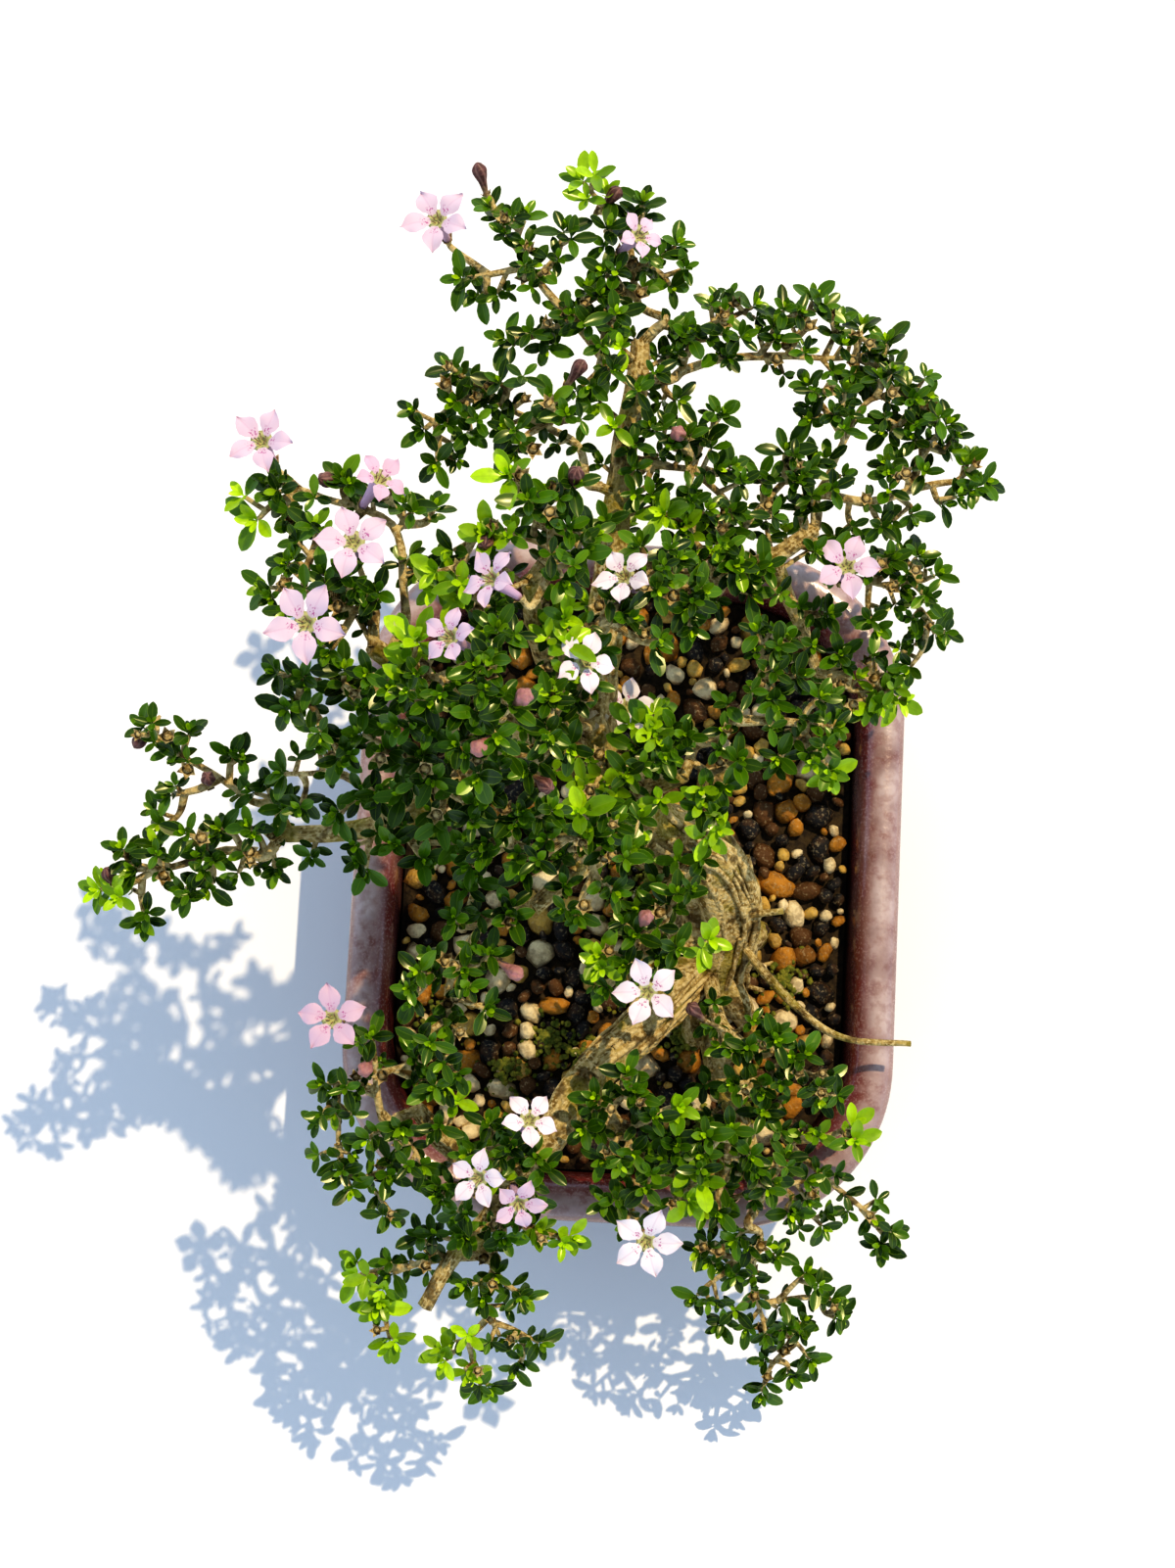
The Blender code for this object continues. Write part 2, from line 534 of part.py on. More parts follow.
def build_drain(y):
    rings = []
    for z in (0.0, DRAIN_REACH):
        angles = [math.tau * k / DRAIN_SIDES for k in range(DRAIN_SIDES)]
        rings.append([Vector((DRAIN_RADIUS * math.cos(a), y + DRAIN_RADIUS * math.sin(a), z))
                      for a in angles])
    return solid("drain", loft(rings))


def build_pot(look):
    wall = loft([corner_ring(inset * MM, z * MM) for inset, z in POT_PROFILE_MM])
    feet = [build_foot(x, y) for x in (-FOOT_X, FOOT_X) for y in (-FOOT_Y, FOOT_Y)]
    pot = fuse("pot", [wall] + feet, look, True)
    drains = [build_drain(y) for y in (-DRAIN_SPACING / 2, DRAIN_SPACING / 2)]
    apply_boolean(pot, drains, "DIFFERENCE")
    return pot


# Soil with its gravel as relief
def soil_height(x, y):
    away = math.hypot(x - MOUND_MIDDLE[0], y - MOUND_MIDDLE[1]) / MOUND_SPREAD
    return SOIL_TOP + MOUND_RISE * math.exp(-away ** 2)


def pebble_middle(cell):
    """The top of the pebble in this cell of a loose honeycomb."""
    column, row = cell
    shift_x, shift_y, uneven = [math.sin(column * p + row * q) for p, q in PEBBLE_PHASES]
    x = PEBBLE_SIZE * (column + 0.5 * (row % 2) + PEBBLE_JITTER * shift_x)
    y = PEBBLE_SIZE * (row * math.sqrt(0.75) + PEBBLE_JITTER * shift_y)
    return Vector((x, y, soil_height(x, y) + PEBBLE_RISE * (1 + PEBBLE_UNEVEN * uneven)))


def pebble_neighbours(cell):
    """The six cells around this one, in turn."""
    column, row = cell
    left = column - 1 + row % 2
    return [(column + 1, row), (left + 1, row + 1), (left, row + 1), (column - 1, row),
            (left, row - 1), (left + 1, row - 1)]


def pebble_top():
    """The faces of all pebbles, which meet in valleys."""
    points, faces, valleys = [], [], {}
    span = range(-PEBBLE_CELLS, PEBBLE_CELLS + 1)
    for cell in [(column, row) for column in span for row in span]:
        top = len(points)
        points.append(pebble_middle(cell))
        around_it = pebble_neighbours(cell)
        ring = []
        for pair in zip(around_it, around_it[1:] + around_it[:1]):
            key = frozenset((cell, *pair))
            if key not in valleys:
                valleys[key] = len(points)
                low = sum([pebble_middle(c) for c in key], Vector()) / 3
                low.z = soil_height(low.x, low.y) - PEBBLE_VALLEY
                points.append(low)
            ring.append(valleys[key])
        faces += [(top, a, b) for a, b in zip(ring, ring[1:] + ring[:1])]
    return points, faces


def pebble_block():
    """A deep closed block under the pebbles' faces."""
    points, faces = pebble_top()
    count = len(points)
    edges = {edge for a, b, c in faces for edge in ((a, b), (b, c), (c, a))}
    sides = [(a, b, count + b, count + a) for a, b in sorted(edges) if (b, a) not in edges]
    floor = [tuple(count + i for i in face) for face in faces]
    points += [p - Vector((0, 0, BLOCK_DEPTH)) for p in points]
    return points, faces + floor + sides


def build_soil(look, cutters):
    rings = [even_ring(inset * MM, z * MM, SOIL_STEPS) for inset, z in SOIL_PROFILE_MM]
    soil = solid("soil", loft(rings), look, True)
    apply_boolean(soil, [solid("pebbles", pebble_block(), look, True)], "INTERSECT")
    apply_boolean(soil, cutters, "DIFFERENCE")
    return soil


# Tubes along routes
def smooth_route(points, steps):
    """A smooth line through the points, in so many steps between each two."""
    if len(points) < 3:
        return [points[0].lerp(points[-1], k / steps) for k in range(steps + 1)]
    padded = [points[0] * 2 - points[1]] + points + [points[-1] * 2 - points[-2]]
    route = [points[0]]
    for i in range(1, len(padded) - 2):
        a, b, c, d = padded[i - 1:i + 3]
        for k in range(1, steps + 1):
            t = k / steps
            route.append(0.5 * ((2 * b) + (c - a) * t + (2 * a - 5 * b + 4 * c - d) * t * t
                                + (3 * b - a - 3 * c + d) * t ** 3))
    return route


def frames_along(route):
    """The way ahead and two ways across at each point, with no twist between them."""
    ahead = [(route[min(i + 1, len(route) - 1)] - route[max(i - 1, 0)]).normalized()
             for i in range(len(route))]
    side = ahead[0].orthogonal().normalized()
    frames = []
    for direction in ahead:
        side = (side - direction * side.dot(direction)).normalized()
        frames.append((direction, side, direction.cross(side)))
    return frames


def tube(route, radii, sides, grow=0.0):
    rings = []
    for p, (_, u, v), radius in zip(route, frames_along(route), radii):
        angles = [math.tau * k / sides for k in range(sides)]
        rings.append([p + (u * math.cos(a) + v * math.sin(a)) * (radius + grow)
                      for a in angles])
    return loft(rings)


def even_radii(route, start, end):
    last = len(route) - 1
    return [start + (end - start) * i / last for i in range(last + 1)]


def nearest_on(lines, target):
    """The nearest point of the centre lines, with its radius and its way."""
    best = None
    for route, radii in lines:
        for i in range(len(route) - 1):
            span = route[i + 1] - route[i]
            share = max(0.0, min(1.0, (target - route[i]).dot(span) / span.length_squared))
            point = route[i] + span * share
            gap = (target - point).length
            if best is None or gap < best[0]:
                radius = radii[i] + (radii[i + 1] - radii[i]) * share
                best = (gap, point, radius, span.normalized())
    return best[1:]


# What has been placed so far, for keeping nodes apart
def box_of(points):
    low = [min(p[i] for p in points) for i in range(3)]
    high = [max(p[i] for p in points) for i in range(3)]
    return low, high


class Placed:
    def __init__(self):
        self.items = []

    def add(self, owner, piece):
        low, high = box_of(piece[0])
        self.items.append((owner, low, high, BVHTree.FromPolygons(*piece)))

    def is_clear(self, piece, skip=None, only=None):
        """Whether a piece meets nothing, leaving out the owners to skip."""
        low, high = box_of(piece[0])
        own = BVHTree.FromPolygons(*piece)
        for owner, other_low, other_high, tree in self.items:
            if (skip and owner.startswith(skip)) or (only and owner != only):
                continue
            if any(low[i] > other_high[i] or other_low[i] > high[i] for i in range(3)):
                continue
            if own.overlap(tree):
                return False
        return True


# Leafy tips and blooms
def around(side, other, angle):
    return side * math.cos(angle) + other * math.sin(angle)


def leafy_tip(start, end, count, scale, spin, spread, grow=0.0):
    """One closed surface: a twig whose end opens into a rosette of leaves."""
    axis = (end - start).normalized()
    side = axis.orthogonal().normalized()
    other = axis.cross(side)
    lift = Vector((0, 0, LEAF_LIFT)) if axis.z > -0.2 else Vector()
    length, half_width = LEAF_LENGTH * scale, LEAF_WIDTH * scale / 2
    step = math.tau / count
    ways = [around(side, other, spin + step * (k - 0.5)) for k in range(count)]
    points = [start + way * (TWIG_RADIUS * 0.4 + grow) for way in ways]
    points += [end + way * (TWIG_RADIUS + grow) for way in ways]
    points.append(end + axis * (CROWN_RISE + grow))
    top = 2 * count
    faces = [tuple(range(count))]
    for k in range(count):
        out = around(side, other, spin + step * k)
        ahead = (axis * math.cos(spread) + out * math.sin(spread) + lift).normalized()
        across = axis.cross(out)
        below = across.cross(ahead)
        if below.dot(axis) > 0:
            below = -below
        left, tip, right, under = range(len(points), len(points) + 4)
        points += [
            end + ahead * (length * LEAF_WIDEST) - across * (half_width + grow),
            end + ahead * (length + grow),
            end + ahead * (length * LEAF_WIDEST) + across * (half_width + grow),
            end + ahead * (length * LEAF_KEEL) + below * (LEAF_THICK * 0.75 + grow),
        ]
        a, b = k, (k + 1) % count
        c, d = count + a, count + b
        faces += [(a, b, d, c), (top, c, left), (top, left, tip), (top, tip, right),
                  (top, right, d), (c, under, left), (left, under, tip),
                  (tip, under, right), (right, under, d), (d, under, c)]
    return points, faces


def bloom_points(foot, axis, spin, width):
    """Rings of points: the tube's foot and throat, the lobes below and above, the lip."""
    side = axis.orthogonal().normalized()
    other = axis.cross(side)

    def at(degrees, radius, z):
        return foot + around(side, other, math.radians(degrees) + spin) * radius + axis * z
    fifths = [360 / LOBES * k for k in range(LOBES)]
    points = [at(a, BLOOM_NECK, 0.0) for a in fifths]
    points += [at(a, BLOOM_THROAT, BLOOM_TUBE - BLOOM_LIP) for a in fifths]
    for rise in (-PETAL_THICK / 2, PETAL_THICK / 2):
        points += [at(a + degrees, width * radius, BLOOM_TUBE + width * z + rise)
                   for a in fifths for degrees, radius, z in LOBE_SHAPE]
    points += [at(a, BLOOM_LIP, BLOOM_TUBE) for a in fifths]
    return points


def bloom(foot, axis, spin, width):
    """One closed surface: a solid tube that opens into five pointed lobes."""
    points = bloom_points(foot, axis, spin, width)
    edge = LOBES * len(LOBE_SHAPE)
    below, above = 2 * LOBES, 2 * LOBES + edge
    lip = above + edge
    faces = [tuple(range(LOBES)), tuple(range(lip, lip + LOBES))]
    faces += [(below + j, below + (j + 1) % edge, above + (j + 1) % edge, above + j)
              for j in range(edge)]
    for k in range(LOBES):
        after = (k + 1) % LOBES
        faces.append((k, after, LOBES + after, LOBES + k))
        ring = [(len(LOBE_SHAPE) * k + j) % edge for j in range(len(LOBE_SHAPE) + 1)]
        faces.append((LOBES + k, below + ring[-1], LOBES + after))
        faces.append((lip + k, lip + after, above + ring[-1]))
        for a, b in zip(ring, ring[1:]):
            faces.append((LOBES + k, below + a, below + b))
            faces.append((lip + k, above + b, above + a))
    return points, faces


# Wood
def limb_sides(start_mm):
    if start_mm > THICK_MM:
        return 8
    return 6 if start_mm > STOUT_MM else SLIM_SIDES


def limb_tubes():
    """Each limb as (route, radii, sides); the bole is the first."""
    tubes = []
    for points, start, end in LIMBS.values():
        steps = 2 if start > STOUT_MM else 1
        route = smooth_route([spot(p) for p in points], steps)
        tubes.append((route, even_radii(route, start * MM, end * MM), limb_sides(start)))
    return tubes


def straight_tubes(lines, radii, sides):
    routes = [[spot(p) for p in points] for points in lines]
    return [(route, even_radii(route, *radii), sides) for route in routes]


def longer(route):
    """The route with its last point moved on by the gap round a stem in its hole."""
    ahead = (route[-1] - route[-2]).normalized()
    return route[:-1] + [route[-1] + ahead * HOLE_GAP]


def hole_cutters(bole, roots):
    """Copies of the bole's foot and the roots, a little wider, that make plain holes."""
    route, radii, sides = bole
    foot = longer(route[:HOLE_RINGS][::-1])
    cutters = [solid("hole", tube(foot, radii[:HOLE_RINGS][::-1], sides, HOLE_GAP))]
    for route, radii, sides in roots:
        cutters.append(solid("hole", tube(longer(route), radii, sides, HOLE_GAP)))
    return cutters


# Leafy stems
class Stem:
    """A side stem, which grows from a stub on the wood and stays clear of other nodes."""

    def __init__(self, number, plan, lines, placed):
        self.owner = "stem%02d " % number
        self.plan = plan
        self.placed = placed
        self.chance = random.Random(SEED * 100 + number)
        self.lines = []
        self.pieces = []
        start, radius, along = nearest_on(lines, spot(plan["at"]))
        self.way = self.way_out(start, along)
        reach = radius / (self.way - along * self.way.dot(along)).length + STUB_STANDS_OUT
        self.stub = (start, start + self.way * reach)
        self.foot = start + self.way * (reach + GAP)

    def middle(self):
        ends = [spot(arm[-1]) for arm in self.plan["arms"]]
        return sum(ends, Vector()) / len(ends)

    def has_main_arm(self):
        return len(self.plan["arms"][0]) > 1

    def way_out(self, start, along):
        """Toward the stem's leaves, but leaving the wood sideways."""
        target = spot(self.plan["arms"][0][0]) if self.has_main_arm() else self.middle()
        way = (target - start).normalized()
        across = way - along * way.dot(along)
        if across.length < LEAST_ASIDE:
            across = along.orthogonal()
        return (way * STUB_AHEAD + across.normalized() * STUB_ASIDE).normalized()

    def shaken(self, size):
        return Vector([self.chance.uniform(-1, 1) for _ in range(3)]) * size

    def keep(self, piece):
        self.placed.add(self.owner, piece)
        self.pieces.append(piece)

    def fork(self, target, most):
        """Where a twig to this target leaves the stem, a little back from the nearest point."""
        near, _, along = nearest_on(self.lines, target)
        back = min((target - near).length * BRANCH_BACK, most)
        return nearest_on(self.lines, near - along * back)[0]

    def arm_route(self, targets, attempt, keep_end):
        """The points of one try at a twig, bent a little more each time."""
        first = not self.lines
        start = self.foot if first else self.fork(targets[0], FORK_MOST)
        route = [start]
        if first:
            route.append(start + self.way * LEAD_OUT)
        bend = self.shaken(BEND + SHAKE * attempt)
        if len(targets) == 1 and attempt > STRAIGHT_TRIES:
            route.append(start.lerp(targets[0], 0.55) + bend)
        for i, target in enumerate(targets):
            fixed = keep_end and i == len(targets) - 1
            route.append(target if fixed else target + self.shaken(SHAKE * attempt))
        return route

    def add_arm(self, targets, radius, keep_end=False):
        """Adds one twig from the nearest twig of this stem, bent clear of other nodes."""
        first = not self.lines
        for attempt in range(ARM_TRIES):
            route = self.arm_route(targets, attempt, keep_end)
            radii = even_radii(route, radius, TWIG_END)
            if not first:
                radii[0] *= 0.5
            if self.placed.is_clear(tube(route, radii, TWIG_SIDES, CLEARANCE), self.owner):
                self.keep(tube(route, radii, TWIG_SIDES))
                skip = 1 if first else 0
                self.lines.append((route[skip:], radii[skip:]))
                return

    def grow_arms(self):
        """The main twigs; a stem of short twigs alone has one stalk to its middle."""
        if not self.has_main_arm():
            self.add_arm([self.foot.lerp(self.middle(), 0.7)], STALK_RADIUS)
        for arm in self.plan["arms"]:
            if len(arm) > 1:
                self.add_arm([spot(p) for p in arm], ARM_RADIUS)

    def grow_bloom_stalk(self, foot, axis):
        end = foot - axis * GAP
        self.add_arm([end - axis * BLOOM_STALK, end], BLOOM_STALK_RADIUS, True)

    def tip_shape(self, target, attempt):
        """The sizes of one try at a leafy tip."""
        end = target + self.shaken(TIP_SHAKE * attempt)
        start = self.fork(end, TIP_FORK_MOST)
        if (end - start).length < SHORTEST_TIP:
            end = start + (end - start + Vector((0, 0, 0.001))).normalized() * SHORTEST_TIP
        scale = self.chance.uniform(*TIP_SCALE) * (1.0 - TIP_SHRINK * attempt)
        count = 4 if self.chance.random() < FOUR_LEAVES else 3
        spin = self.chance.uniform(0, math.tau)
        spread = math.radians(self.chance.uniform(*SPREAD_DEGREES))
        return dict(start=start, end=end, count=count, scale=scale, spin=spin, spread=spread)

    def add_tip(self, target):
        """Adds a twig with its rosette of leaves, turned and bent until it is clear."""
        heads = self.owner + "rosette"
        for attempt in range(TIP_TRIES):
            shape = self.tip_shape(target, attempt)
            start, end = shape["start"], shape["end"]
            share = min(0.6, HEAD_LENGTH / (end - start).length)
            head = leafy_tip(**dict(shape, start=end.lerp(start, share)))
            if not self.placed.is_clear(head, only=heads):
                continue
            if self.placed.is_clear(leafy_tip(**shape, grow=GAP), self.owner):
                self.keep(leafy_tip(**shape))
                self.placed.add(heads, head)
                return

    def grow_leaves(self):
        most = self.plan.get("most", MOST_TIPS)
        for arm in self.plan["arms"][:most]:
            self.add_tip(spot(arm[-1]))

    def add_bud(self, end):
        for attempt in range(BUD_TRIES):
            near = nearest_on(self.lines, end)[0]
            axis = ((end - near).normalized() + Vector((0, 0, BUD_LIFT))).normalized()
            route = [near] + [end - axis * (BUD_LENGTH * share) for share, _ in BUD_SHAPE]
            radii = [TWIG_RADIUS * 0.4] + [radius for _, radius in BUD_SHAPE]
            if self.placed.is_clear(tube(route, radii, BUD_SIDES, CLEARANCE), self.owner):
                self.keep(tube(route, radii, BUD_SIDES))
                return
            end = end + self.shaken(BUD_SHAKE)


def bloom_place(stem, entry):
    """The foot, way, turn and width of a bloom in the plan."""
    x, y, height, tip_x, tip_y, scale = entry
    axis = Vector((tip_x, tip_y, 1.0)).normalized()
    foot = spot((x, y, height)) - axis * BLOOM_TUBE
    return foot, axis, stem.chance.uniform(0, math.tau), BLOOM_WIDTH * scale


def build_blooms(stems, placed, look):
    """All blooms, each returned with its stem, its foot and its way."""
    made = []
    for stem in stems:
        for entry in stem.plan["blooms"]:
            foot, axis, spin, width = bloom_place(stem, entry)
            piece = bloom(foot, axis, spin, width)
            name = "bloom_%02d" % (len(made) + 1)
            placed.add(name, piece)
            solid(name, piece, look)
            made.append((stem, foot, axis))
    return made


def grow_stems(stems, blooms):
    """Twigs come first, then bloom stalks, buds and leaves, so that each keeps clear."""
    for stem in stems:
        stem.grow_arms()
    for stem, foot, axis in blooms:
        stem.grow_bloom_stalk(foot, axis)
    for stem in stems:
        for point in stem.plan["buds"]:
            stem.add_bud(spot(point))
    for stem in stems:
        stem.grow_leaves()


def build():
    glaze = material("glazed mauve ceramic", (0.36, 0.15, 0.17), 0.28)
    earth = material("gravel and soil", (0.30, 0.20, 0.11), 0.9)
    bark = material("tan bark", (0.42, 0.31, 0.17), 0.85)
    green = material("dark glossy leaf", (0.05, 0.16, 0.03), 0.4)
    petal = material("pale pink petal", (0.86, 0.66, 0.74), 0.55)

    limbs = limb_tubes()
    roots = straight_tubes(ROOTS, ROOT_RADII, ROOT_SIDES)
    bare = straight_tubes(BARE, BARE_RADII, SLIM_SIDES)
    pot = build_pot(glaze)
    soil = build_soil(earth, hole_cutters(limbs[0], roots))

    placed = Placed()
    for node in (pot, soil):
        placed.add(node.name, ([v.co.copy() for v in node.data.vertices],
                               [tuple(f.vertices) for f in node.data.polygons]))
    lines = [(route, radii) for route, radii, _ in limbs]
    stems = [Stem(k + 1, plan, lines, placed) for k, plan in enumerate(STEMS)]
    wood = [tube(route, radii, sides) for route, radii, sides in limbs + roots + bare]
    wood += [tube(stem.stub, [STUB_RADIUS] * 2, SLIM_SIDES) for stem in stems]
    for piece in wood:
        placed.add("trunk", piece)

    blooms = build_blooms(stems, placed, petal)
    grow_stems(stems, blooms)
    fuse("trunk", wood, bark, True)
    for k, stem in enumerate(stems):
        fuse("leafy_stem_%02d" % (k + 1), stem.pieces, green)


def stand_at_origin():
    """Moves everything so that the bottom centre of the whole is the origin."""
    objects = [o for o in bpy.data.objects if o.type == "MESH"]
    low, high = box_of([v.co for o in objects for v in o.data.vertices])
    shift = Vector((-(low[0] + high[0]) / 2, -(low[1] + high[1]) / 2, -low[2]))
    for made in objects:
        for vertex in made.data.vertices:
            vertex.co += shift


for old in list(bpy.data.objects):
    bpy.data.objects.remove(old)
build()
stand_at_origin()
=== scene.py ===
# The look of the serissa bonsai: fine leaves, blooms, bark, grit and glaze over the frame.
import math
import random

import bmesh
import bpy
from mathutils import Euler, Matrix, Vector, noise


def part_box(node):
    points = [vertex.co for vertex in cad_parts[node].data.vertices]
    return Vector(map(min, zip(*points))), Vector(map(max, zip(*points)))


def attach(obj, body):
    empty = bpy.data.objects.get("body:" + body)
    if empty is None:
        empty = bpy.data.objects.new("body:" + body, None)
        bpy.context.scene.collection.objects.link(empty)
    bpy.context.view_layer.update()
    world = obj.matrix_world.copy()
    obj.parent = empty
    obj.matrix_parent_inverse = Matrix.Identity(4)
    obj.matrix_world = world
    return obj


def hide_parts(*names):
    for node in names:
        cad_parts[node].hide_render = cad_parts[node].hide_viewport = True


MM = 0.001
SEED = 41

# Pot, as in the part. The profile is (inset, height) in mm, from the foot over the lip.
POT_HALF_X = 0.053
POT_HALF_Y = 0.066
POT_CORNER = 0.032
CORNER_LOSS = 0.62
CORNER_STEPS = 24
POT_HEIGHT = 0.048
POT_PROFILE = [
    (11.0, 3.0), (10.0, 3.4), (9.4, 4.6), (8.0, 12.0), (6.6, 20.0), (5.1, 27.0), (3.6, 34.0),
    (2.6, 38.4), (2.3, 39.8), (1.3, 40.9), (0.4, 41.9), (0.0, 43.2), (0.0, 44.6), (0.3, 46.0),
    (1.2, 47.2), (2.4, 47.85), (3.7, 48.0), (5.1, 47.9), (6.6, 47.2), (7.6, 46.1),
    (8.2, 44.8), (8.5, 43.0), (8.6, 40.5), (9.6, 28.0), (12.2, 10.0), (13.0, 8.6), (15.0, 8.0),
]
FLOOR_UNDER = 0.003
FLOOR_TOP = 0.008
FLOOR_LIFT = 0.00002
DRAIN_RADIUS = 0.006
DRAIN_SPACING = 0.050
DRAIN_SIDES = 24
DRAIN_SQUARE = 0.0235
FOOT_X = 0.029
FOOT_Y = 0.042
FOOT_OUTLINE = ((1, .6), (.6, 1), (-.6, 1), (-1, .6), (-1, -.6), (-.6, -1), (.6, -1), (1, -.6))
FOOT_LEVELS = ((0.0085, 0.0), (0.0093, 0.0004), (0.0095, 0.0012), (0.0094, 0.0044),
               (0.0088, 0.0060), (0.0070, 0.0076), (0.0045, 0.0084))

# How far up the pot's profile the lip's crest lies, as a share
LIP_CREST = 0.60

# Soil: its profile in mm, the rings of its top as shares, and the low mound round the tree
SOIL_TOP = 0.0385
SOIL_PROFILE = [(15.7, 8.5), (13.1, 10.3), (10.3, 28.0), (9.4, 37.4)]
SOIL_STEPS = 12
SOIL_SHARES = (0.9, 0.8, 0.7, 0.6, 0.5, 0.4, 0.3, 0.2, 0.1, 0.02)
SOIL_LUMP = 0.0012
SOIL_LUMPS = 160
SOIL_INSET = 0.0094
SOIL_CORNER_LOSS = 0.0058
MOUND_MIDDLE = (0.012, -0.012)
MOUND_RISE = 0.0014
MOUND_SPREAD = 0.0346

# Gravel: size, tries and rise of each layer, largest first, and each colour from its tint on
STONE_LAYERS = ((0.0027, 500, 0.0008), (0.0021, 1800, 0.0014), (0.0015, 3600, 0.0016),
                (0.0011, 5000, 0.0012))
STONE_CELL = 0.0070
STONE_PACKING = 0.80
STONE_SIZES = (0.8, 1.25)
STONE_STRETCH = ((0.95, 1.35), (0.75, 1.0), (0.6, 0.9))
STONE_SINK = 0.55
GRIT_COLOURS = ((0.28, (0.105, 0.045, 0.008)), (0.44, (0.46, 0.21, 0.018)),
                (0.62, (0.58, 0.38, 0.085)), (0.78, (0.76, 0.63, 0.37)))

# Moss: dots to a clump, how far they stray, their sizes, and the clumps' places in the photo
MOSS_DOTS = 110
MOSS_REACH = 0.0036
MOSS_SIZES = (0.00035, 0.0008)
MOSS_LIFT = 0.0022
MOSS_CLUMPS = [(676, 880, 41), (668, 895, 41), (660, 872, 41), (640, 1010, 41), (600, 1080, 42),
               (560, 1060, 41), (700, 1060, 42), (450, 1040, 40), (760, 1120, 41),
               (720, 1150, 41), (520, 1090, 41), (690, 905, 41), (800, 1000, 41), (640, 930, 41)]

# Wood: limbs from these radii in mm are thick or stout, and radii are (start, end) in metres
THICK_MM = 8.0
STOUT_MM = 3.0
ROOT_RADII = (0.0042, 0.0018)
BARE_RADII = (0.0010, 0.0006)
STUB_RADII = (0.0010, 0.0009)
SPUR_RADII = (0.0005, 0.0004)
STRANDS = 13

# Bark relief: ridges and fine lines as (times round, times a metre, share), knots as
# (times a metre, share), and flutes as (number round, wind a metre, share)
RIDGES = ((2.4, 70, 0.8), (6, 160, 0.45))
KNOTS = (230, 0.6)
FLUTES = ((5, 55, 1.0), (9, -40, 0.6))

# Fine roots: their sizes and how far they run out, then how many each limb bears and the
# highest share of the limb that they start from
ROOTLET_RADII = (0.00035, 0.00075)
ROOTLET_RUN = (0.003, 0.010)
ROOTLETS = (("bole", 34, 0.8), ("lower", 12, 0.35), ("right_low", 8, 0.35))

# Leaves: their length, the step between shoots, the longest bare gap, the share of shoots
# with a dry star, and the column of the photo left of which leaves stand thinly
LEAF_LENGTH = 0.0044
NODE_STEP = 0.0028
BARE_GAP = 0.0055
CALYX_SHARE = 0.25
SPARSE_LEFT_OF = 330

# Leaf pairs from the outside in: degrees from the twig, share of the length, tints
ROSETTE_PAIRS = ((76, 1.0, 0.0, 0.26), (56, 0.86, 0.04, 0.34), (34, 0.58, 0.25, 0.60),
                 (16, 0.32, 0.65, 1.0))
PAIR_STEP = 0.0003
LEAF_LENGTHS = (0.78, 1.18)
YOUNG_GROWTH = 1.15
PALE_LEAF_SHARE = 0.10
PALE_LEAF_TINT = 0.25

# Spurs straight on limbs: how long they are, then for each limb the share of its length
# that they start from, and how many there are a metre
LIMB_SPUR = (0.0025, 0.0065)
SHOOT_LIMBS = {"left": (0.1, 300), "far_left": (0.25, 160), "top": (0.25, 750), "apex": (0.2, 300),
               "right": (0.05, 300), "over_rim": (0.0, 250), "middle": (0.1, 300),
               "front": (0.1, 300), "lower": (0.45, 300), "bottom": (0.2, 300),
               "centre_low": (0.15, 300), "right_low": (0.35, 300), "side_low": (0.3, 300),
               "heart": (0.3, 300)}

# Places in the photo with young, lime-green leaves, and how far they reach in its pixels
YOUNG_REACH = 26
YOUNG = [(596, 186), (520, 488), (426, 656), (578, 640), (602, 812), (722, 960), (398, 1366),
         (366, 1302), (384, 1332), (456, 1388), (846, 788), (700, 540), (498, 545), (468, 606),
         (262, 530), (915, 714), (868, 1150), (690, 1130), (702, 1226), (580, 1262),
         (614, 975), (104, 908), (664, 742), (722, 852)]

# Blooms and buds, and how near in the photo's pixels one lies to its place in the lists below
BLOOM_WIDTH = 0.0112
BLOOM_TUBE = 0.0075
BUD_LENGTH = 0.0062
BUD_RADIUS = 0.0012
PINK_BUD_SWELL = 1.08
BUD_RIBS = 6
SAME_PLACE = 12

# Blooms that show near white in the photo; the others are pale lilac pink
PALE_BLOOMS = ((661, 1013), (541, 1143), (637, 588), (641, 722), (597, 676), (488, 1203),
               (660, 1268))

# Buds that show dusty pink in the photo; the others are dark brown
PINK_BUDS = ((533, 998), (662, 932), (371, 1096), (539, 708), (483, 768), (690, 440))

# The sun's power in watts, the way to it, and the sky's strength at the horizon and overhead
SUN_POWER = 178.0
SUN_DISTANCE = 5.0
SUN_SIZE = 0.055
SUN_COLOUR = (1.0, 0.81, 0.54)
SUN_WAY = (0.346, 0.47, 1.0)
SKY_LOW = 0.92
SKY_HIGH = 0.25
SKY_COLOUR = (0.98, 1.20, 1.52)

# How the photo is read: a point is (x, y) in its pixels with a height in mm.
LENS_MM = 50.0
SENSOR_MM = 36.0
FOCAL_PX = 2223.0
IMAGE_MID = (600.0, 800.5)
RIM_PX_PER_MM = 5.3
RIM_MID_PX = (640.0, 895.0)
LEAN = math.radians(7.0)
TURN = math.radians(2.9)

